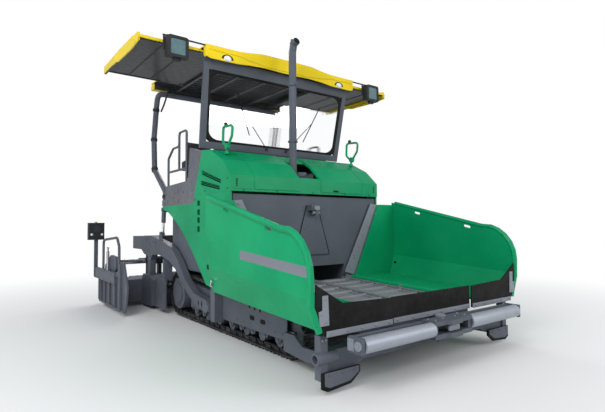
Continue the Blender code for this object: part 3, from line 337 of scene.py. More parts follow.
def plastic(name, colour, roughness, slot="black_plastic"):
    look = Finish(name, roughness, 0.0, 0.3)
    base = look.blend(look.remap(look.noise(3), 0.3, 0.7), shade(colour, 0.8), shade(colour, 1.2))
    turned = look.edge(0.004)
    base = look.blend(look.math("MULTIPLY", turned, 0.25), base, (0.16, 0.16, 0.17))
    look.bump(look.noise(900, 1), 0.12, 0.0006)
    return look.close(base, look.noise(25, 4), 0.10, slot)


def rubberSkin(name, slot="rubber"):
    look = Finish(name, 0.68, 0.0, 0.2)
    base = look.blend(look.remap(look.noise(4, 6), 0.35, 0.68), (0.004, 0.004, 0.004), (0.011, 0.010, 0.009))
    look.edge(0.004)
    scuffs = look.remap(look.noise(9, 8, (1, 1, 6)), 0.58, 0.72, 0, 0.22)
    base = look.blend(scuffs, base, (0.035, 0.033, 0.030))
    look.bump(look.noise(240, 3), 0.15, 0.001)
    return look.close(base, look.noise(12, 5), 0.10, slot)


def steel(name, colour, roughness, slot, brushed=(1, 30, 30), grime=0.25, metallic=0.9):
    look = Finish(name, roughness, metallic)
    lines = look.noise(14, 5, brushed)
    base = look.blend(look.remap(lines, 0.35, 0.65), shade(colour, 0.86), shade(colour, 1.08))
    look.edge(0.004)
    stain = look.remap(look.noise(4.5, 7), 0.52, 0.72, 0, grime)
    base = look.blend(stain, base, (0.11, 0.095, 0.08))
    look.bump(lines, 0.05, 0.001)
    return look.close(base, lines, 0.10, slot)


def trackSteel(name):
    look = Finish(name, 0.55, 0.75)
    base = look.blend(look.remap(look.noise(6, 6), 0.35, 0.68), (0.045, 0.046, 0.05), (0.12, 0.125, 0.135))
    turned = look.edge(0.005)
    polished = look.math("MULTIPLY", turned, look.remap(look.noise(30, 5), 0.35, 0.6))
    base = look.blend(polished, base, (0.36, 0.37, 0.39))
    soil = look.remap(look.noise(11, 8), 0.50, 0.68, 0, 0.55)
    base = look.blend(soil, base, (0.065, 0.054, 0.044))
    look.bump(look.noise(70, 6), 0.25, 0.002)
    return look.close(base, look.noise(16, 6), 0.15, "track_steel")


def seatCloth(name):
    look = Finish(name, 0.85)
    base = look.blend(look.remap(look.noise(7, 4), 0.3, 0.7), (0.012, 0.012, 0.014), (0.028, 0.028, 0.031))
    weaves = []
    for axis in ("X", "Y"):
        wave = look.nodes.new("ShaderNodeTexWave")
        wave.bands_direction = axis
        wave.inputs["Scale"].default_value = 190
        look.links.new(look.coords["Object"], wave.inputs["Vector"])
        weaves.append(wave.outputs["Fac"])
    look.bump(look.math("ADD", weaves[0], weaves[1]), 0.25, 0.0015)
    look.shader.inputs["Sheen Weight"].default_value = 0.25
    return look.close(base, look.noise(40, 3), 0.08, "black_plastic")


def glassPane(name, tint=(0.90, 0.95, 0.96)):
    look = Finish(name, 0.05)
    look.shader.inputs["Transmission Weight"].default_value = 1.0
    look.shader.inputs["IOR"].default_value = 1.05
    look.shader.inputs["Alpha"].default_value = 0.35
    smear = look.remap(look.noise(2.4, 5), 0.35, 0.75)
    base = look.blend(smear, tint, shade(tint, 0.97))
    return look.close(base, look.noise(3.5, 6), 0.04, "glass")


def lensGlass(name, colour, glow=0.0):
    look = Finish(name, 0.14)
    rings = look.nodes.new("ShaderNodeTexVoronoi")
    rings.inputs["Scale"].default_value = 55
    look.links.new(look.coords["Object"], rings.inputs["Vector"])
    base = look.blend(look.remap(look.noise(9, 3), 0.35, 0.65), shade(colour, 0.72), colour)
    look.bump(rings.outputs["Distance"], 0.35, 0.002)
    look.shader.inputs["Coat Weight"].default_value = 1.0
    look.shader.inputs["Coat Roughness"].default_value = 0.04
    look.shader.inputs["Emission Strength"].default_value = glow
    return look.close(base, look.noise(20, 3), 0.05, "glass")


green = (0.0, 0.308, 0.122)
slate = (0.100, 0.112, 0.138)
yellow = (0.84, 0.62, 0.006)
rubbedYellow = (0.5, 0.42, 0.2)
finishes = {
    "green": paint("machineGreen", green, "green_paint"),
    "slate": paint("machineSlate", slate, "slate_paint", roughness=0.45, gloss=0.05, worn=(0.30, 0.31, 0.34)),
    "paleSlate": paint("paleSlate", (0.24, 0.26, 0.30), "slate_paint", roughness=0.45, gloss=0.1),
    "darkSlate": paint("darkSlate", (0.045, 0.048, 0.056), "slate_paint", roughness=0.5, gloss=0.05),
    "canopy": paint("canopyYellow", yellow, "yellow_paint", gloss=0.2, worn=rubbedYellow, wear=0.2,
                    mark=underDark),
    "yellow": paint("trimYellow", yellow, "yellow_paint", gloss=0.2, worn=rubbedYellow, wear=0.2),
    "black": plastic("blackMoulding", (0.022, 0.023, 0.026), 0.55),
    "blackPaint": paint("blackPaint", (0.02, 0.021, 0.024), "black_paint", roughness=0.5, gloss=0.05),
    "walkway": treadPlate("walkwayTread", (0.035, 0.037, 0.042), "black_paint"),
    "deck": treadPlate("deckTread", (0.12, 0.13, 0.155), "slate_paint"),
    "rubber": rubberSkin("rubberSkin"),
    "roller": steel("rollerSteel", (0.36, 0.39, 0.44), 0.46, "bare_steel", (30, 1, 30), 0.12, 0.45),
    "chrome": steel("chromeRod", (0.80, 0.81, 0.83), 0.14, "chrome", (30, 1, 30), 0.05, 1.0),
    "bolt": steel("boltZinc", (0.42, 0.43, 0.45), 0.42, "bare_steel"),
    "wornFloor": steel("wornFloor", (0.24, 0.255, 0.28), 0.50, "slate_paint", (1, 26, 1), 0.30, 0.30),
    "track": trackSteel("trackSteel"),
    "cloth": seatCloth("seatCloth"),
    "glass": glassPane("clearPane"),
    "lens": lensGlass("floodLens", (0.10, 0.19, 0.21)),
    "whiteLens": lensGlass("markerLens", (0.82, 0.83, 0.84), 0.1),
    "hole": plastic("deepShade", (0.006, 0.006, 0.007), 0.8),
}
wingFinish = {letter: wingPaint(letter, side) for side, letter in sides}
print("finishes made:", len(finishes) + 2)

nodeFinish = {
    "engine_hood": "green", "side_panel": "green", "hood_handle": "green", "canopy_roof": "canopy",
    "canopy_awning": "canopy", "rubber_deflector": "rubber", "apron_flap": "rubber", "push_roller": "roller",
    "guide_tube": "chrome", "lift_rod": "chrome", "track_frame": "slate", "track_": "track",
    "auger_frame": "slate", "auger_": "track", "windshield_glass": "glass", "engine_block": "blackPaint",
    "dashboard": "black",
    "control_box": "black", "floodlight": "black", "screed_walkway": "walkway", "platform_deck": "deck",
    "hopper_floor": "wornFloor",
}
for name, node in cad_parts.items():
    key = next((finish for start, finish in nodeFinish.items() if name.startswith(start)), "slate")
    mat = wingFinish[name[-1]] if name.startswith("hopper_wing") else finishes[key]
    node.data.materials.clear()
    node.data.materials.append(mat)
print("frame nodes painted")


# shape helpers

def addBox(bm, low, high, turn=None):
    made = bmesh.ops.create_cube(bm, size=1.0)["verts"]
    middle = (Vector(low) + Vector(high)) / 2
    size = Vector(high) - Vector(low)
    for vert in made:
        reach = Vector([vert.co[k] * size[k] for k in range(3)])
        vert.co = middle + (turn @ reach if turn else reach)


def span(side, near, far):
    # a stretch across the machine on one side, in rising order
    return sorted((side * near, side * far))


def addSideBox(bm, side, x, y, z):
    low, high = span(side, *y)
    addBox(bm, (x[0], low, z[0]), (x[1], high, z[1]))


def addRod(bm, start, end, radius, steps=16, endRadius=None):
    start, end = Vector(start), Vector(end)
    run = end - start
    place = Matrix.Translation((start + end) / 2) @ run.to_track_quat("Z", "Y").to_matrix().to_4x4()
    bmesh.ops.create_cone(bm, cap_ends=True, segments=steps, radius1=radius,
                          radius2=radius if endRadius is None else endRadius, depth=run.length, matrix=place)


def addPlate(bm, points, axis, low, high):
    # an outline in the plane across the axis, from low to high along it
    rings = []
    for level in (low, high):
        corners = {
            "x": lambda u, v: (level, u, v),
            "y": lambda u, v: (u, level, v),
            "z": lambda u, v: (u, v, level),
        }
        rings.append([bm.verts.new(corners[axis](u, v)) for u, v in points])
    count = len(points)
    faces = [bm.faces.new(rings[0]), bm.faces.new(rings[1])]
    for k in range(count):
        after = (k + 1) % count
        faces.append(bm.faces.new((rings[0][k], rings[0][after], rings[1][after], rings[1][k])))
    bmesh.ops.recalc_face_normals(bm, faces=faces)


def addBolt(bm, place, way, size=0.012):
    place, way = Vector(place), Vector(way).normalized()
    addRod(bm, place - way * 0.004, place + way * size * 0.25, size, 16)
    addRod(bm, place, place + way * size * 0.85, size * 0.72, 6)


def roundedRing(halfWide, halfHigh, radius, steps=5, centre=(0, 0)):
    ring = []
    for k, (cornerU, cornerV) in enumerate(((1, 1), (-1, 1), (-1, -1), (1, -1))):
        for step in range(steps + 1):
            turn = math.pi / 2 * (k + step / steps)
            ring.append((centre[0] + cornerU * (halfWide - radius) + radius * math.cos(turn),
                         centre[1] + cornerV * (halfHigh - radius) + radius * math.sin(turn)))
    return ring


def makePiece(name, bm, body, finish, bevel=0.0, smooth=False):
    mesh = bpy.data.meshes.new(name)
    bm.to_mesh(mesh)
    bm.free()
    piece = bpy.data.objects.new(name, mesh)
    scene.collection.objects.link(piece)
    mat = finishes[finish]
    mesh.materials.append(mat)
    if bevel:
        edge = piece.modifiers.new("softEdge", "BEVEL")
        edge.width = bevel
        edge.segments = 2
        edge.limit_method = "ANGLE"
        edge.angle_limit = math.radians(35)
    if smooth:
        mesh.shade_smooth()
        mesh.set_sharp_from_angle(angle=math.radians(40))
    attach(piece, body)
    return piece


def makePipe(name, points, radius, body, finish, closed=False):
    # a bent bar or pipe on a smooth path
    curve = bpy.data.curves.new(name, "CURVE")
    curve.dimensions = "3D"
    curve.bevel_depth = radius
    curve.bevel_resolution = 3
    curve.use_fill_caps = True
    curve.resolution_u = 6
    spline = curve.splines.new("BEZIER")
    spline.bezier_points.add(len(points) - 1)
    for point, co in zip(spline.bezier_points, points):
        point.co = co
        point.handle_left_type = point.handle_right_type = "AUTO"
    spline.use_cyclic_u = closed
    holder = bpy.data.objects.new(name + "Path", curve)
    scene.collection.objects.link(holder)
    mesh = bpy.data.meshes.new_from_object(holder)
    bpy.data.objects.remove(holder)
    mesh.name = name
    mesh.materials.clear()
    mesh.materials.append(finishes[finish])
    mesh.shade_smooth()
    piece = bpy.data.objects.new(name, mesh)
    scene.collection.objects.link(piece)
    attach(piece, body)
    return piece


def mix(a, b, share):
    return a + (b - a) * share


# crawler tracks: shoes with three grousers, bolts and a twin chain

crawler = {
    "sprocketX": -1.05, "length": 3.06, "sprocketR": 0.355, "idlerR": 0.26, "pitch": 0.16, "depth": 0.075,
    "plate": 0.012, "grouser": 0.024, "linkWide": 0.03, "linkGap": 0.075,
}


def loopPlace(distance, inset):
    # point on the loop and its outward direction in the x-z plane, distance in metres along the outside
    c = crawler
    lean = 2 * math.atan2(c["sprocketR"] - c["idlerR"], c["length"])
    frontArc, rearArc = (math.pi - lean) * c["idlerR"], (math.pi + lean) * c["sprocketR"]
    total = 2 * c["length"] + frontArc + rearArc
    s = distance % total
    idlerX = c["sprocketX"] + c["length"]
    if s < c["length"]:
        turn, centreX, centreZ, radius, slide = 0.0, c["sprocketX"] + s, c["sprocketR"], c["sprocketR"], 0.0
    elif s < c["length"] + frontArc:
        turn = (s - c["length"]) / c["idlerR"]
        centreX, centreZ, radius, slide = idlerX, c["idlerR"], c["idlerR"], 0.0
    elif s < 2 * c["length"] + frontArc:
        turn = math.pi - lean
        centreX, centreZ, radius, slide = idlerX, c["idlerR"], c["idlerR"], s - c["length"] - frontArc
    else:
        turn = math.pi - lean + (s - 2 * c["length"] - frontArc) / c["sprocketR"]
        centreX, centreZ, radius, slide = c["sprocketX"], c["sprocketR"], c["sprocketR"], 0.0
    out = Vector((math.sin(turn), 0, -math.cos(turn)))
    along = Vector((math.cos(turn), 0, math.sin(turn)))
    return Vector((centreX, 0, centreZ)) + out * (radius - inset) + along * slide, out, along, total


def makeTracks():
    c = crawler
    total = loopPlace(0, 0)[3]
    count = round(total / c["pitch"])
    step = total / count
    halfLink = c["linkWide"] / 2
    under = c["grouser"] + c["plate"] - 0.002
    for side, letter in sides:
        low, high = at["track_" + letter]
        middleY, halfY = (low.y + high.y) / 2, (high.y - low.y) / 2
        plates, chain = bmesh.new(), bmesh.new()
        for k in range(count):
            place, out, along, _ = loopPlace((k + 0.5) * step, 0)
            place.y = middleY
            # a flat shoe on a round stretch is drawn in until its corners stay above the ground
            place.z = max(place.z, abs(along.z) * step * 0.47)
            turn = Matrix((along, Vector((0, 1, 0)), out)).transposed()

            def block(bm, alongHalf, yLow, yHigh, deep, shallow, shift=0.0):
                centre = place + along * shift - out * (deep + shallow) / 2
                centre.y = middleY + (yLow + yHigh) / 2
                half = Vector((alongHalf, (yHigh - yLow) / 2, abs(deep - shallow) / 2))
                addBox(bm, centre - half, centre + half, turn)

            block(plates, step * 0.47, -halfY, halfY, c["grouser"] + c["plate"], c["grouser"])
            for shift in (-0.40, 0.0, 0.40):
                end = halfY - 0.004
                block(plates, step * 0.05, -end, end, c["grouser"] + 0.004, 0.0, shift * step)
            for shift in (-0.2, 0.2):
                for across in (-0.10, -0.05, 0.05, 0.10):
                    spot = place + along * shift * step - out * (c["grouser"] + 0.001)
                    spot.y = middleY + across
                    addBolt(plates, spot, out, 0.010)
            for reach in (-1, 1):
                inner = reach * c["linkGap"]
                block(chain, step * 0.40, inner - halfLink, inner + halfLink, c["depth"], under)
                outer = reach * (c["linkGap"] + 0.028)
                block(chain, step * 0.26, outer - halfLink, outer + halfLink, c["depth"] - 0.006, under,
                      step * 0.5)
            pin = place + along * step * 0.5 - out * 0.056
            addRod(chain, (pin.x, middleY - 0.125, pin.z), (pin.x, middleY + 0.125, pin.z), 0.014, 10)
        shoes = makePiece("trackShoes_" + letter, plates, "tractor", "track", 0.0025)
        makePiece("trackChain_" + letter, chain, "tractor", "track", 0.003)
        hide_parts("track_" + letter)


makeTracks()
print("tracks made")


# crawler frames: cover plate holes, final drive cover, roller guards

cover = {
    "face": 1.12, "round": ((1.20, 0.47), (1.32, 0.462), (1.44, 0.454)),
    "slots": ((1.26, 0.335), (1.50, 0.325)),
    "hub": (-1.05, 1.096, 0.355), "hubRing": 0.19, "capRing": 0.11, "capDeep": 0.016,
}


def ringPoint(middle, radius, turn):
    # a point round an axis that runs across the machine
    return middle + Vector((radius * math.cos(turn), 0, radius * math.sin(turn)))


def makeCrawlerTrim():
    c = cover
    for side, letter in sides:
        face = side * c["face"]
        sunk = (face - side * 0.01, face + side * 0.0012)
        bm = bmesh.new()
        for place in c["round"]:
            addPlate(bm, roundedRing(0.020, 0.032, 0.019, 4, place), "y", *sunk)
        for place in c["slots"]:
            addPlate(bm, roundedRing(0.056, 0.027, 0.025, 4, place), "y", *sunk)
        makePiece("coverHoles_" + letter, bm, "tractor", "hole")
        bm = bmesh.new()
        for x in (0.48, 0.62, 0.92, 1.06, 1.75, 1.90):
            for z in (0.26, 0.50):
                addBolt(bm, (x, face, z), (0, side, 0), 0.011)
        hub = Vector((c["hub"][0], side * c["hub"][1], c["hub"][2]))
        cap = hub + Vector((0, side * c["capDeep"], 0))
        addRod(bm, hub, cap, 0.15, 40)
        for k in range(12):
            addBolt(bm, ringPoint(hub, c["hubRing"], k * math.pi / 6), (0, side, 0), 0.013)
        for k in range(8):
            addBolt(bm, ringPoint(cap, c["capRing"], k * math.pi / 4), (0, side, 0), 0.010)
        makePiece("crawlerBolts_" + letter, bm, "tractor", "slate", 0.001)
        bm = bmesh.new()
        for k in range(9):
            x = -0.42 + k * 0.27
            guard = [(x - 0.075, 0.205), (x + 0.075, 0.205), (x + 0.045, 0.135), (x - 0.045, 0.135)]
            addPlate(bm, guard, "y", *span(side, 1.062, 1.075))
            addRod(bm, (x, side * 1.055, 0.15), (x, side * 1.085, 0.15), 0.028, 16)
        makePiece("rollerGuards_" + letter, bm, "tractor", "slate", 0.002)


makeCrawlerTrim()


# hopper: aprons' clamp strips, end brackets, bolts, conveyor bars and the rear wall's cover

hopper = {"strip": (0.502, 0.552), "stripDeep": 0.010, "boltStep": 0.23}
rearWall = {"face": 1.0, "cover": ((0.305, 1.02), (0.095, 1.71))}


def makeHopperTrim():
    bodies = [("tractor", -0.625, 0.625, "centre")]
    bodies += [("wing_" + letter, *span(side, 0.66, 1.47), letter) for side, letter in sides]
    for body, low, high, label in bodies:
        front = at["apron_flap_" + label][1].x
        bm = bmesh.new()
        below, above = hopper["strip"]
        addBox(bm, (front + 0.0005, low, below), (front + hopper["stripDeep"], high, above))
        count = round((high - low) / hopper["boltStep"])
        for k in range(count + 1):
            y = mix(low + 0.05, high - 0.05, k / count)
            addBolt(bm, (front + hopper["stripDeep"], y, sum(hopper["strip"]) / 2), (1, 0, 0), 0.011)
        makePiece("apronStrip_" + label, bm, body, "paleSlate", 0.0015)
    for side, letter in sides:
        front = at["apron_flap_" + letter][1].x
        bm = bmesh.new()
        y0 = side * 1.50
        steps = ((-0.055, 0.60), (0.045, 0.60), (0.055, 0.72), (0.015, 0.73), (0.015, 0.85), (-0.045, 0.85))
        addPlate(bm, [(y0 + side * out, z) for out, z in steps], "x", front + 0.0005, front + 0.012)
        for y, z in ((y0 - side * 0.02, 0.63), (y0 - side * 0.02, 0.82), (y0 + side * 0.03, 0.70)):
            addBolt(bm, (front + 0.012, y, z), (1, 0, 0), 0.010)
        makePiece("apronBracket_" + letter, bm, "wing_" + letter, "paleSlate", 0.002)

    bm = bmesh.new()
    slope = (0.59 - 0.675) / 2.03
    for k in range(8):
        x = 1.12 + k * 0.245
        z = 0.645 + slope * (x - 1.04)
        for side in (-1, 1):
            bar = ((-0.02, -0.01), (0.02, -0.011), (0.014, 0.022), (-0.014, 0.022))
            addPlate(bm, [(x + u, z + v) for u, v in bar], "y", *span(side, 0.065, 0.565))
    for side in (-1, 1):
        for y in (0.11, 0.52):
            for k in range(30):
                x = 1.04 + k * 0.065
                z = 0.645 + slope * (x - 1.04)
                addBox(bm, (x, side * y - 0.02, z - 0.004), (x + 0.045, side * y + 0.02, z + 0.012))
    makePiece("conveyorBars", bm, "tractor", "wornFloor", 0.002)

    wallX = rearWall["face"]
    bm = bmesh.new()
    for side in (-1, 1):
        for share in (0.06, 0.22, 0.38, 0.54, 0.70, 0.86):
            z = mix(0.76, 1.73, share)
            y = side * mix(0.645, 1.19, share)
            addBolt(bm, (wallX + 0.028, y, z), (1, 0, 0), 0.013)
        for z, y in ((1.10, 0.22), (1.38, 0.14)):
            addBolt(bm, (wallX + 0.012, side * y, z), (1, 0, 0), 0.009)
    makePiece("rearWallBolts", bm, "tractor", "slate", 0.001)
    bm = bmesh.new()
    (foot, z0), (head, z1) = rearWall["cover"]
    for side in (-1, 1):
        seam = [(side * foot, z0), (side * foot + 0.006, z0), (side * head + 0.006, z1), (side * head, z1)]
        addPlate(bm, seam, "x", wallX + 0.001, wallX + 0.0135)
    addBox(bm, (wallX + 0.001, -0.305, 1.016), (wallX + 0.0135, 0.305, 1.022))
    makePiece("rearWallSeams", bm, "tractor", "hole")
    bm = bmesh.new()
    addRod(bm, (wallX + 0.10, -0.055, 1.60), (wallX + 0.10, 0.055, 1.60), 0.02, 16)
    addPlate(bm, roundedRing(0.04, 0.03, 0.015, 4, (0, 1.665)), "x", wallX + 0.10, wallX + 0.135)
    makePiece("rearWallHook", bm, "tractor", "paleSlate", 0.003)


makeHopperTrim()


wingEdge = {
    "bead": ((1.62, 0.84), (1.619, 0.78), (1.585, 0.69), (1.543, 0.585), (1.530, 0.545)),
    "deflector": ((1.06, 0.19), (1.06, 0.140), (1.165, 0.078), (1.40, 0.062), (1.455, 0.085), (1.455, 0.19)),
    "guard": ((0.16, 0.335), (1.405, 0.335), (1.405, 0.175), (1.02, 0.175), (0.95, 0.215), (0.16, 0.215)),
    "strip": ((0.585, 0.745), (0.79, 0.690), (1.285, 1.735), (1.13, 1.755)), "beadX": 3.024,
}


def onSide(side, points):
    return [(side * y, z) for y, z in points]


def makeWingTrim():
    for side, letter in sides:
        bm = bmesh.new()
        addPlate(bm, onSide(side, wingEdge["strip"]), "x", 1.0285, 1.0385)
        for share in (0.04, 0.20, 0.36, 0.52, 0.68, 0.84, 0.97):
            addBolt(bm, (1.0385, side * mix(0.67, 1.20, share), mix(0.745, 1.73, share)), (1, 0, 0), 0.012)
        addSideBox(bm, side, (0.965, 0.998), (0.645, 0.92), (0.60, 0.76))
        makePiece("wallStrip_" + letter, bm, "tractor", "paleSlate", 0.002)
        body = "wing_" + letter
        bead = [(wingEdge["beadX"], y, z) for y, z in onSide(side, wingEdge["bead"])]
        makePipe("wingBead_" + letter, bead, 0.031, body, "green")
        bm = bmesh.new()
        for z0, z1, x0 in ((0.93, 0.985, 1.085), (0.80, 0.855, 1.11)):
            spread = 0.0 if z0 > 0.9 else 0.055
            addSideBox(bm, side, (x0, x0 + 0.045), ((1.612 - spread), (1.622 - spread * 0.9)), (z0, z1))
        makePiece("wingSlots_" + letter, bm, body, "hole", 0.002)
        bm = bmesh.new()
        addRod(bm, (1.08, side * 1.575, 0.735), (1.16, side * 1.60, 0.80), 0.010, 14)
        addRod(bm, (1.08, side * 1.575, 0.735), (1.085, side * 1.55, 0.73), 0.016, 14)
        makePiece("wingLatch_" + letter, bm, body, "chrome", 0.001, True)
        bm = bmesh.new()
        addPlate(bm, onSide(side, wingEdge["deflector"]), "x", 3.0004, 3.009)
        for y in (1.12, 1.26, 1.41):
            addBolt(bm, (3.009, side * y, 0.165), (1, 0, 0), 0.011)
        addPlate(bm, onSide(side, wingEdge["guard"]), "x", 2.945, 2.957)
        for y in (0.35, 0.65, 0.95, 1.25):
            addBolt(bm, (2.957, side * y, 0.305), (1, 0, 0), 0.010)
        makePiece("guardPlates_" + letter, bm, "tractor", "slate", 0.002)


makeWingTrim()
print("hopper trim made")


# push rollers: end caps and the beam's joint plates

def makeRollerTrim():
    for side, letter in sides:
        low, high = at["push_roller_" + letter]
        radius = (high.z - low.z) / 2
        x, z = (low.x + high.x) / 2, (low.z + high.z) / 2
        bm = bmesh.new()
        for y, way in ((low.y + 0.006, -1), (high.y - 0.006, 1)):
            addRod(bm, (x, y - way * 0.006, z), (x, y + way * 0.001, z), radius * 0.80, 32)
            addRod(bm, (x, y - way * 0.004, z), (x, y + way * 0.003, z), radius * 0.42, 24)
        makePiece("rollerCaps_" + letter, bm, "roller_" + letter, "slate", 0.002)
        bm = bmesh.new()
        outer = side * 1.27
        addRod(bm, (x, outer - side * 0.004, z), (x, outer + side * 0.012, z), 0.042, 24)
        addRod(bm, (x, outer + side * 0.010, z), (x, outer + side * 0.020, z), 0.022, 6)
        addSideBox(bm, side, (3.092, 3.168), (1.27, 1.278), (0.378, 0.482))
        for dx, dz in ((-0.11, 0.032), (-0.11, -0.032), (-0.072, 0.032), (-0.072, -0.032)):
            addBolt(bm, (x + dx, outer + side * 0.008, z + dz), (0, side, 0), 0.009)
        makePiece("rollerEnd_" + letter, bm, "push_beam", "paleSlate", 0.002)
    bm = bmesh.new()
    for x, y in ((3.13, -0.24), (3.13, 0.24), (3.22, -0.24), (3.22, 0.24), (3.20, -0.10), (3.20, 0.10)):
        addBolt(bm, (x, y, 0.505), (0, 0, 1), 0.012)
    addRod(bm, (3.10, 0, 0.50), (3.10, 0, 0.522), 0.052, 28)
    addPlate(bm, roundedRing(0.085, 0.028, 0.012, 4, (0, 0.42)), "x", 3.245, 3.268)
    makePiece("beamTrim", bm, "push_beam", "paleSlate", 0.002)
    bm = bmesh.new()
    for side in (-1, 1):
        for dy, z in ((0.02, 0.16), (0.06, 0.16), (0.02, 0.46), (0.06, 0.46)):
            addBolt(bm, (2.98, side * (1.40 + dy), z), (1, 0, 0), 0.010)
    makePiece("bumperBolts", bm, "tractor", "bolt", 0.001)


makeRollerTrim()


# hood: two raised doors, seams, louvre slats, handles' knobs and the muffler recess

hood = {
    "front": 1.03, "base": 1.8603, "nose": 2.06, "browX": 0.80, "brow": 2.27, "shoulderX": 0.45, "top": 2.47,
    "doorLift": 0.008, "louvres": ((0.20, 2.13, 0.76, 1.97), (0.17, 1.99, 0.73, 1.89)), "slat": 0.003,
}


def hoodProfile(lift):
    # the hood's outside from its front face up and back, lifted off the sheet
    h = hood
    path = [Vector((h["front"], h["base"] + 0.03)), Vector((h["front"], h["nose"])),
            Vector((h["browX"], h["brow"])),
            Vector((h["shoulderX"], h["top"] - 0.03)), Vector((0.23, h["top"] - 0.004))]
    lifted = []
    for k, point in enumerate(path):
        ways = [(b - a).normalized() for a, b in zip(path, path[1:])]
        before, after = ways[max(k - 1, 0)], ways[min(k, len(ways) - 1)]
        normals = [Vector((way.y, -way.x)) for way in (before, after)]
        out = (normals[0] + normals[1]).normalized()
        lifted.append(point + out * lift / max(0.5, out.dot(normals[0])))
    return lifted


def makeHoodTrim():
    inside, outside = hoodProfile(-0.004), hoodProfile(hood["doorLift"])
    ring = [tuple(p) for p in outside] + [tuple(p) for p in reversed(inside)]
    for y0, y1, label in ((-0.94, -0.235, "r"), (0.145, 0.94, "l")):
        bm = bmesh.new()
        addPlate(bm, ring, "y", y0, y1)
        makePiece("hoodDoor_" + label, bm, "tractor", "green", 0.004)
    for side, letter in sides:
        bm = bmesh.new()
        thin = [tuple(p) for p in hoodProfile(0.003)] + [tuple(p) for p in reversed(inside)]
        addPlate(bm, thin, "y", *span(side, 0.965, 1.262))
        makePiece("hoodCheek_" + letter, bm, "tractor", "green", 0.003)
        bm = bmesh.new()
        addSideBox(bm, side, (0.10, 0.85), (1.225, 1.235), (1.80, 2.20))
        addSideBox(bm, side, (0.03, 0.15), (1.235, 1.245), (1.32, 1.80))
        makePiece("grilleBack_" + letter, bm, "tractor", "hole")
        bm = bmesh.new()
        for x0, z0, x1, z1 in hood["louvres"]:
            for lift in (0.018, 0.040):
                y0, y1 = span(side, 1.240, 1.268)
                below, above = lift - hood["slat"], lift + hood["slat"]
                addPlate(bm, [(x0, z0 + below), (x1, z1 + below), (x1, z1 + above), (x0, z0 + above)],
                         "y", y0, y1)
        makePiece("louvreSlats_" + letter, bm, "tractor", "green", 0.001)
        bm = bmesh.new()
        low, high = at["hood_handle_" + letter]
        y = (low.y + high.y) / 2
        addRod(bm, (0.59, y, high.z - 0.045), (0.59, y, high.z - 0.006), 0.022, 20, 0.026)
        addRod(bm, (0.59, y, high.z - 0.006), (0.59, y, high.z + 0.006), 0.026, 20, 0.016)
        makePiece("handleKnob_" + letter, bm, "tractor", "black", 0.002, True)
    bm = bmesh.new()
    front = hood["front"] + hood["doorLift"]
    addPlate(bm, roundedRing(0.050, 0.013, 0.004, 3, (0.42, 1.915)), "x", front - 0.004, front + 0.001)
    for z in (1.93, 1.955, 1.98, 2.005):
        for side in (-1, 1):
            addPlate(bm, roundedRing(0.016, 0.007, 0.006, 4, (side * 1.20, z)), "x", 1.030, 1.0345)
    makePiece("hoodVents", bm, "tractor", "hole")
    bm = bmesh.new()
    for side in (-1, 1):
        for x, z in ((0.30, 1.90), (0.94, 1.90), (0.94, 2.02)):
            addBolt(bm, (x, side * 1.28, z), (0, side, 0), 0.010)
    for y in (-1.1, -0.6, 0.0, 0.6, 1.1):
        addBolt(bm, (1.03, y, 1.878), (1, 0, 0), 0.009)
    makePiece("hoodScrews", bm, "tractor", "black", 0.001)
    x, y = 0.76, -0.145
    bm = bmesh.new()
    for z in (2.62, 3.44):
        addRod(bm, (x, y, z - 0.012), (x, y, z + 0.012), 0.069, 32)
        addBox(bm, (x + 0.062, y - 0.01, z - 0.010), (x + 0.092, y + 0.01, z + 0.010))
    makePiece("pipeClamps", bm, "tractor", "slate", 0.002)
    bm = bmesh.new()
    addRod(bm, (x + 0.012, y, 4.020), (x + 0.108, y, 4.046), 0.0535, 28)
    makePiece("pipeOutlet", bm, "tractor", "slate", 0.003, True)
    bm = bmesh.new()
    addRod(bm, (x + 0.104, y, 4.0449), (x + 0.1092, y, 4.0463), 0.047, 28)
    makePiece("pipeMouth", bm, "tractor", "hole")
    bm = bmesh.new()
    addRod(bm, (x + 0.05, y + 0.10, 2.09), (x + 0.16, y + 0.24, 2.09), 0.055, 24)
    addRod(bm, (x + 0.06, y + 0.28, 2.00), (x + 0.06, y + 0.28, 2.17), 0.05, 24)
    makePiece("muffler", bm, "tractor", "darkSlate", 0.004, True)


makeHoodTrim()
print("hood trim made")


# windshield: rubber seal round the glass and two wipers

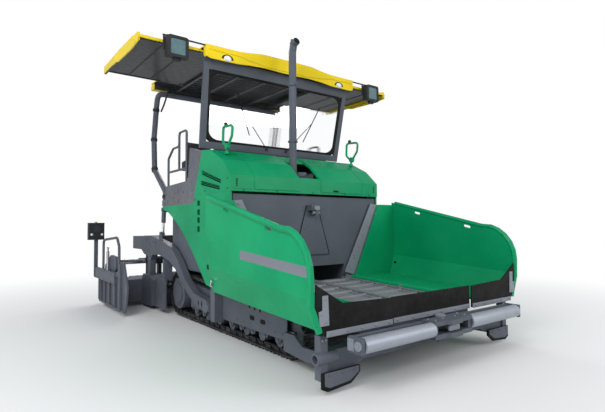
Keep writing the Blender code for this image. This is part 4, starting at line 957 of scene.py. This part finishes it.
def makeShieldTrim():
    low, high = at["windshield_glass"]
    run = Vector((high.x - low.x, 0, high.z - low.z))
    up = run.normalized()
    out = Vector((up.z, 0, -up.x))
    span = run.length

    def place(y, t, lift):
        return Vector((low.x, 0, low.z)) + up * t + out * lift + Vector((0, y, 0))

    lowHalf, highHalf = high.y - 0.04, high.y
    rings = []
    for inset, radius in ((-0.008, 0.10), (0.034, 0.13)):
        ring = []
        flat = roundedRing(1.0 - inset, span / 2 - inset, radius, 6, (0, span / 2))
        for u, t in flat:
            ring.append((u * mix(lowHalf, highHalf, t / span), t))
        rings.append(ring)
    bm = bmesh.new()
    count = len(rings[0])
    loops = []
    for ring, lift in ((rings[0], 0.016), (rings[0], -0.016), (rings[1], -0.010), (rings[1], 0.010)):
        loops.append([bm.verts.new(place(y, t, lift)) for y, t in ring])
    for a, b in zip(loops, loops[1:] + loops[:1]):
        for k in range(count):
            bm.faces.new((a[k], a[(k + 1) % count], b[(k + 1) % count], b[k]))
    bmesh.ops.recalc_face_normals(bm, faces=bm.faces)
    makePiece("shieldSeal", bm, "tractor", "rubber", 0.002, True)
    for side, letter in sides:
        foot = place(side * 0.18, -0.02, 0.030)
        tip = place(side * 0.62, 0.46, 0.026)
        bm = bmesh.new()
        addRod(bm, foot - out * 0.02, foot + out * 0.012, 0.022, 20)
        addRod(bm, foot, tip, 0.006, 10)
        makePiece("wiperArm_" + letter, bm, "tractor", "black", 0.001, True)
        bm = bmesh.new()
        first, last = place(side * 0.50, 0.16, 0.016), place(side * 0.76, 0.74, 0.016)
        addRod(bm, first, last, 0.007, 8)
        addRod(bm, first + out * 0.008, last + out * 0.008, 0.004, 8)
        makePiece("wiperBlade_" + letter, bm, "tractor", "rubber", 0.001, True)


makeShieldTrim()


# canopy: ribs below, awning lips, marker lamps and floodlights

canopy = {"ribStep": 0.115, "ribHigh": 0.010, "lampY": 1.02, "lampR": 0.052}


def makeCanopyTrim():
    low, high = at["canopy_roof"]
    frontX = high.x
    under = high.z - 0.052 - 0.02
    bm = bmesh.new()
    count = int((frontX - 0.2 - low.x) / canopy["ribStep"])
    for k in range(count):
        x = low.x + 0.16 + k * canopy["ribStep"]
        addBox(bm, (x, -1.30, 3.828), (x + 0.03, 1.30, 3.8405))
    makePiece("roofRibs", bm, "tractor", "darkSlate", 0.002)
    half = [(1.338, 3.862), (0.84, 3.864), (0.66, 3.882), (0.46, 3.911), (0.30, 3.914)]
    under = [(1.338, 3.70), (1.27, 3.676), (0.86, 3.680), (0.66, 3.700), (0.40, 3.712), (0.15, 3.704)]
    ring = half + [(-y, z) for y, z in reversed(half)] + [(-y, z) for y, z in under] + list(reversed(under))
    bm = bmesh.new()
    addPlate(bm, ring, "x", frontX + 0.0005, frontX + 0.013)
    crown = [(1.30, 3.835), (0.84, 3.838), (0.64, 3.860), (0.45, 3.885), (0.30, 3.888)]
    floor = [(1.30, 3.795), (0.84, 3.79), (0.66, 3.76), (0.40, 3.735), (0.15, 3.73)]
    face = crown + [(-y, z) for y, z in reversed(crown)] + [(-y, z) for y, z in floor] + list(reversed(floor))
    addPlate(bm, face, "x", frontX + 0.010, frontX + 0.022)
    makePiece("canopyFascia", bm, "tractor", "yellow", 0.007)
    bm = bmesh.new()
    for side in (-1, 1):
        addPlate(bm, [(frontX - 0.068, 3.858), (frontX + 0.006, 3.862), (frontX + 0.006, 3.70),
                      (frontX - 0.03, 3.69),
                      (frontX - 0.068, 3.73)], "y", *span(side, 1.330, 1.342))
        addSideBox(bm, side, (-1.712, -1.60), (1.10, 1.345), (3.735, 3.80))
    makePiece("canopyCorners", bm, "tractor", "yellow", 0.004)
    for side, letter in sides:
        a, b = at["canopy_awning_" + letter]
        tip = max(abs(a.y), abs(b.y))
        sheetLow = 3.777
        bm = bmesh.new()
        for y in (1.52, 1.86):
            addBox(bm, (a.x + 0.03, side * y - 0.009, sheetLow - 0.0075),
                   (b.x - 0.03, side * y + 0.009, sheetLow + 0.002))
        for x in (a.x + 0.02, b.x - 0.05):
            addSideBox(bm, side, (x, x + 0.03), (1.36, (tip - 0.02)), (sheetLow - 0.009, sheetLow + 0.001))
        makePiece("awningRibs_" + letter, bm, "awning_" + letter, "darkSlate", 0.0015)
        profile = [(a.x + 0.02, 3.742), (mix(a.x, b.x, 0.40), 3.728), (mix(a.x, b.x, 0.47), 3.700),
                   (mix(a.x, b.x, 0.86), 3.690),
                   (b.x + 0.01, 3.712), (b.x + 0.012, 3.80), (mix(a.x, b.x, 0.88), 3.846),
                   (mix(a.x, b.x, 0.45), 3.852),
                   (a.x + 0.02, 3.832)]
        bm = bmesh.new()
        addPlate(bm, profile, "y", *span(side, tip - 0.012, tip + 0.008))
        addSideBox(bm, side, (b.x - 0.004, b.x + 0.010), (1.40, tip), (3.772, 3.812))
        makePiece("awningLip_" + letter, bm, "awning_" + letter, "yellow", 0.006)

        y, z = side * canopy["lampY"], 3.722
        bm = bmesh.new()
        arch = []
        for k in range(13):
            turn = math.pi * k / 12
            arch.append((y + 0.092 * math.cos(turn), z - 0.012 + 0.068 * math.sin(turn)))
        addPlate(bm, arch, "x", frontX + 0.001, frontX + 0.0155)
        makePiece("lampArch_" + letter, bm, "tractor", "black", 0.002)
        bm = bmesh.new()
        bmesh.ops.create_uvsphere(bm, u_segments=28, v_segments=16, radius=canopy["lampR"])
        for vert in bm.verts:
            vert.co = Vector((frontX + 0.012 + vert.co.x * 0.5, y + vert.co.y * 1.12, z + vert.co.z * 0.80))
        makePiece("markerLamp_" + letter, bm, "tractor", "whiteLens", 0, True)

        lampY = side * (1.34 + 0.41)
        lampZ = 3.70
        lampX = 0.51
        bm = bmesh.new()
        outer = roundedRing(0.138, 0.138, 0.035, 5, (lampY, lampZ))
        inner = roundedRing(0.100, 0.100, 0.020, 5, (lampY, lampZ))
        loops = []
        for ring, x in ((outer, lampX - 0.02), (outer, lampX + 0.012),
                        (inner, lampX + 0.012), (inner, lampX - 0.012)):
            loops.append([bm.verts.new((x, u, v)) for u, v in ring])
        for first, last in zip(loops, loops[1:]):
            for k in range(len(outer)):
                bm.faces.new((first[k], first[(k + 1) % len(outer)], last[(k + 1) % len(outer)], last[k]))
        bm.faces.new(loops[0])
        bm.faces.new(loops[3])
        bmesh.ops.recalc_face_normals(bm, faces=bm.faces)
        makePiece("floodBezel_" + letter, bm, "tractor", "black", 0.003)
        bm = bmesh.new()
        addPlate(bm, roundedRing(0.099, 0.099, 0.020, 5, (lampY, lampZ)), "x", lampX - 0.004, lampX + 0.003)
        makePiece("floodLens_" + letter, bm, "tractor", "lens", 0.002)
        bm = bmesh.new()
        for k in range(6):
            z = lampZ - 0.10 + k * 0.04
            addBox(bm, (0.395, lampY - 0.11, z - 0.006), (0.412, lampY + 0.11, z + 0.006))
        makePiece("floodFins_" + letter, bm, "tractor", "black", 0.002)


makeCanopyTrim()
print("canopy trim made")


# operator's seats: sewn cushions on a pedestal, with side consoles

seat = {"x": -0.72, "y": 0.80, "floor": 1.845, "width": 0.46, "depth": 0.48, "pan": 0.115, "back": 0.085}


def cushion(bm, depth, width, thick, place, channels, steps=28):
    # crowned pad whose sides pull in between its corners, sewn across at each channel
    grid = {}
    for i in range(steps + 1):
        for j in range(steps + 1):
            u, v = 2 * i / steps - 1, 2 * j / steps - 1
            rise = max(0.0, (1 - u ** 6) * (1 - v ** 6)) ** 0.36
            pull = 1 - 0.035 * (1 - min(1.0, abs(v)) ** 2)
            pullV = 1 - 0.03 * (1 - min(1.0, abs(u)) ** 2)
            groove = sum(math.exp(-((u - c) / 0.035) ** 2) for c in channels) * 0.14
            seam = math.exp(-((abs(v) - 0.62) / 0.03) ** 2) * 0.10
            top = thick * (0.35 + 0.65 * rise * (1 - groove - seam))
            grid[i, j, 1] = bm.verts.new(place @ Vector((depth / 2 * u * pull, width / 2 * v * pullV, top)))
            under = thick * (0.35 - 0.35 * rise)
            grid[i, j, 0] = bm.verts.new(place @ Vector((depth / 2 * u * pull, width / 2 * v * pullV, under)))
    for i in range(steps):
        for j in range(steps):
            for layer in (0, 1):
                bm.faces.new([grid[i + a, j + b, layer] for a, b in ((0, 0), (1, 0), (1, 1), (0, 1))])
    bmesh.ops.remove_doubles(bm, verts=bm.verts, dist=0.0004)
    bmesh.ops.recalc_face_normals(bm, faces=bm.faces)


def makeSeats():
    for side, letter in sides:
        body = "seat_" + letter
        y = side * seat["y"]
        panPlace = Matrix.Translation((seat["x"], y, seat["floor"] + 0.345))
        backPlace = (Matrix.Translation((seat["x"] - 0.275, y, seat["floor"] + 0.69))
                     @ Matrix.Rotation(math.radians(84), 4, "Y") @ Matrix.Rotation(math.radians(180), 4, "Z"))
        bm = bmesh.new()
        cushion(bm, seat["depth"], seat["width"], seat["pan"], panPlace, (-0.35, 0.25))
        pan = makePiece("seatPan_" + letter, bm, body, "cloth", 0, True)
        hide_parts("operator_seat_" + letter)
        bm = bmesh.new()
        cushion(bm, 0.50, seat["width"] - 0.02, seat["back"], backPlace, (-0.45, 0.05, 0.55))
        back = makePiece("seatBack_" + letter, bm, body, "cloth", 0, True)
        bm = bmesh.new()
        addRod(bm, (seat["x"], y, seat["floor"] + 0.001), (seat["x"], y, seat["floor"] + 0.02), 0.14, 32)
        addRod(bm, (seat["x"], y, seat["floor"] + 0.02), (seat["x"], y, seat["floor"] + 0.25), 0.055, 24)
        for k in range(5):
            z = seat["floor"] + 0.24 + k * 0.02
            addRod(bm, (seat["x"], y, z), (seat["x"], y, z + 0.010), 0.088, 28, 0.078)
            addRod(bm, (seat["x"], y, z + 0.010), (seat["x"], y, z + 0.020), 0.078, 28, 0.088)
        addBox(bm, (seat["x"] - 0.21, y - 0.20, seat["floor"] + 0.332),
               (seat["x"] + 0.21, y + 0.20, seat["floor"] + 0.35))
        makePiece("seatPedestal_" + letter, bm, body, "black", 0.003, True)
        for k in (-1, 1):
            middle = y + k * 0.27
            bm = bmesh.new()
            ring = [(seat["x"] - 0.20, 2.30), (seat["x"] + 0.10, 2.30), (seat["x"] + 0.16, 2.36),
                    (seat["x"] + 0.16, 2.43),
                    (seat["x"] + 0.02, 2.462), (seat["x"] - 0.20, 2.44)]
            addPlate(bm, ring, "y", middle - 0.043, middle + 0.043)
            addRod(bm, (seat["x"] + 0.09, middle, 2.42), (seat["x"] + 0.10, middle, 2.462), 0.012, 12)
            for step in range(3):
                leverX = seat["x"] - 0.13 + step * 0.05
                addRod(bm, (leverX, middle, 2.44), (leverX, middle, 2.459), 0.009, 12)
            makePiece(f"seatConsole_{letter}{'in' if k == -side else 'out'}", bm, body, "black", 0.006)
        bm = bmesh.new()
        spine = ((-0.30, 2.20), (-0.255, 2.20), (-0.30, 2.78), (-0.315, 2.78))
        addPlate(bm, [(seat["x"] + out, z) for out, z in spine],
                 "y", y - 0.20, y + 0.20)
        makePiece("seatShell_" + letter, bm, body, "black", 0.004)
    bm = bmesh.new()
    for side in (-1, 1):
        middle = side * 0.62
        addPlate(bm, [(-0.185, 2.42), (-0.02, 2.575), (0.03, 2.575), (0.05, 2.53)], "y", middle - 0.19,
                 middle + 0.19)
        addRod(bm, (-0.19, middle + 0.22, 2.38), (-0.30, middle + 0.22, 2.46), 0.016, 16)
        addRod(bm, (-0.30, middle + 0.22, 2.46), (-0.315, middle + 0.22, 2.471), 0.05, 28)
    makePiece("dashPods", bm, "tractor", "black", 0.006)


makeSeats()
print("seats and dashboard made")


# tow arms, screed, end gates and control boxes

def makeScreedTrim():
    for side, letter in sides:
        face = side * 1.245
        bm = bmesh.new()
        for x, z in ((-1.70, 1.14), (-1.82, 1.16), (-2.0, 0.98), (-2.0, 1.10), (-1.95, 0.90),
                     (0.12, 0.40), (0.12, 0.31)):
            addBolt(bm, (x, face, z), (0, side, 0), 0.014)
        addRod(bm, (0.30, face - side * 0.002, 0.33), (0.30, face + side * 0.014, 0.33), 0.058, 32)
        addPlate(bm, [(-2.92, 1.225), (-1.92, 1.225), (-1.94, 1.19), (-2.90, 1.19)], "y",
                 *sorted((face, face + side * 0.006)))
        makePiece("towArmBolts_" + letter, bm, "screed", "slate", 0.0015)
        bm = bmesh.new()
        for x in (0.02, 0.13):
            addPlate(bm, roundedRing(0.018, 0.030, 0.016, 4, (x, 0.357)), "y",
                     *sorted((face - side * 0.01, face + side * 0.0012)))
        makePiece("towArmSlots_" + letter, bm, "screed", "hole")
        gateFace = side * 1.865
        bm = bmesh.new()
        for x in (-3.24, -2.9, -2.55, -2.1):
            for z in (0.50, 0.63):
                addBolt(bm, (x, gateFace, z), (0, side, 0), 0.012)
        addSideBox(bm, side, (-3.02, -2.94), (1.815, 1.85), (0.09, 0.58))
        for x in (-2.86, -2.60, -2.30, -1.95):
            addSideBox(bm, side, (x - 0.012, x + 0.012), (1.815, 1.845), (0.08, 0.46))
        addSideBox(bm, side, (-3.05, -1.45), (1.81, 1.83), (0.05, 0.085))
        makePiece("gateTrim_" + letter, bm, "extension_" + letter, "slate", 0.002)
        bm = bmesh.new()
        x, y = -2.42, side * 1.835
        addRod(bm, (x, y, 0.66), (x, y, 0.99), 0.024, 20)
        addRod(bm, (x, y, 0.99), (x, y, 1.05), 0.014, 16)
        addRod(bm, (x - 0.06, y, 1.05), (x + 0.06, y, 1.05), 0.010, 12)
        makePiece("gateJack_" + letter, bm, "extension_" + letter, "bolt", 0.002, True)
        low, high = at["control_box_" + letter]
        middle = (low + high) / 2
        bm = bmesh.new()
        addRod(bm, (middle.x, middle.y, high.z - 0.002), (middle.x, middle.y, high.z + 0.022), 0.026, 24,
               0.020)
        makePiece("boxKnob_" + letter, bm, "extension_" + letter, "yellow", 0.003, True)
        bm = bmesh.new()
        for k in (-1, 1):
            y, z = middle.y + k * 0.09, middle.z - 0.06
            addRod(bm, (high.x - 0.002, y, z), (high.x + 0.008, y, z), 0.022, 20)
        makePiece("boxLamps_" + letter, bm, "extension_" + letter, "whiteLens", 0.002, True)
        bm = bmesh.new()
        for row in range(3):
            for column in range(4):
                y, z = middle.y - 0.075 + column * 0.05, middle.z + 0.09 - row * 0.05
                addRod(bm, (low.x + 0.002, y, z), (low.x - 0.005, y, z), 0.009, 14)
        addBox(bm, (high.x - 0.001, middle.y - 0.05, middle.z - 0.01),
               (high.x + 0.004, middle.y + 0.05, middle.z + 0.10))
        makePiece("boxButtons_" + letter, bm, "extension_" + letter, "darkSlate", 0.0015)
    bm = bmesh.new()
    for k in range(9):
        y = -1.08 + k * 0.27
        addBolt(bm, (-2.34, y, 0.42), (-1, 0, 0), 0.012)
        addBolt(bm, (-1.803, y, 0.46), (1, 0, 0), 0.012)
    addBox(bm, (-1.802, -1.25, 0.06), (-1.792, 1.25, 0.10))
    makePiece("screedBolts", bm, "screed", "slate", 0.0015)
    bm = bmesh.new()
    for k in range(19):
        y = -1.08 + k * 0.12
        addBox(bm, (-3.255, y - 0.006, 0.440), (-2.99, y + 0.006, 0.447))
    for k in range(30):
        x = -2.93 + k * 0.018
        addBox(bm, (x, -1.05, 1.2345), (x + 0.005, 1.05, 1.239))
    makePiece("walkwayGrip", bm, "screed", "walkway", 0.001)


makeScreedTrim()


# platform: side bolts, rear lamps, rear door panels and the tow cylinders' pins

def makePlatformTrim():
    bm = bmesh.new()
    for side in (-1, 1):
        for x in (-1.12, -0.80, -0.45, -0.15):
            addBolt(bm, (x, side * 1.27, 1.93), (0, side, 0), 0.011)
        for x in (-1.22, -0.62, -0.02):
            addBolt(bm, (x, side * 1.28, 1.795), (0, side, 0), 0.012)
    makePiece("platformBolts", bm, "tractor", "slate", 0.001)
    bm = bmesh.new()
    for side in (-1, 1):
        addPlate(bm, roundedRing(0.055, 0.035, 0.010, 3, (side * 1.12, 1.795)), "x", -1.325, -1.318)
    makePiece("rearLampFrames", bm, "tractor", "black", 0.002)
    bm = bmesh.new()
    for side in (-1, 1):
        addPlate(bm, roundedRing(0.046, 0.026, 0.008, 3, (side * 1.12, 1.795)), "x", -1.329, -1.324)
    makePiece("rearLamps", bm, "tractor", "whiteLens", 0.002)
    bm = bmesh.new()
    for side in (-1, 1):
        for z0, z1 in ((1.05, 1.35), (1.38, 1.68)):
            addSideBox(bm, side, (-1.268, -1.2595), (0.15, 0.95), (z0, z1))
    makePiece("rearDoors", bm, "tractor", "slate", 0.004)
    for side, letter in sides:
        bm = bmesh.new()
        hinge = Vector((-1.46, side * 1.195, 1.70))
        addRod(bm, hinge - Vector((0, side * 0.072, 0)), hinge + Vector((0, side * 0.045, 0)), 0.016, 20)
        makePiece("cylinderPin_" + letter, bm, "tractor", "bolt", 0.001, True)


makePlatformTrim()


def makeHoopTrim():
    for side, letter in sides:
        y = side * 1.24
        bm = bmesh.new()
        for start, end in (((-1.262, y, 1.875), (-1.266, y, 1.93)), ((-1.775, y, 2.365), (-1.802, y, 2.43)),
                           ((-1.836, y, 2.90), (-1.8395, y, 2.95)), ((-1.752, y, 3.40), (-1.736, y, 3.45))):
            addRod(bm, start, end, 0.056, 28)
        for x, z in ((-1.79, 2.40), (-1.838, 2.925), (-1.744, 3.425)):
            addBox(bm, (x + 0.03, y - 0.016, z - 0.02), (x + 0.082, y + 0.016, z + 0.02))
            addBolt(bm, (x + 0.06, y + side * 0.016, z), (0, side, 0), 0.010)
        makePiece("hoopClamps_" + letter, bm, "tractor", "black", 0.003, True)
        makePipe("foldStrut_" + letter, [(-1.70, side * 1.17, 3.40), (-1.60, side * 1.15, 3.52),
                                         (-1.47, side * 1.13, 3.735)],
                 0.014, "tractor", "black")
        bm = bmesh.new()
        stand = side * 1.165
        addRod(bm, (-0.36, stand, 1.846), (-0.36, stand, 1.862), 0.050, 24)
        addRod(bm, (-0.36, stand, 1.86), (-0.36, stand, 2.40), 0.022, 18)
        addPlate(bm, [(-0.44, 2.40), (-0.27, 2.40), (-0.25, 2.50), (-0.30, 2.60), (-0.43, 2.54)], "y",
                 *span(side, 1.11, 1.215))
        for x, z in ((-0.40, 2.555), (-0.365, 2.572), (-0.33, 2.588)):
            addRod(bm, (x, stand, z - 0.02), (x - 0.006, stand, z + 0.012), 0.010, 14)
        makePiece("sideConsole_" + letter, bm, "tractor", "black", 0.004)
        makePipe("consoleCable_" + letter, [(-0.34, stand, 2.41), (-0.32, side * 1.12, 2.20),
                                            (-0.30, side * 1.09, 2.00),
                                            (-0.26, side * 1.06, 1.852)], 0.010, "tractor", "rubber")


makeHoopTrim()
print("screed and platform trim made")
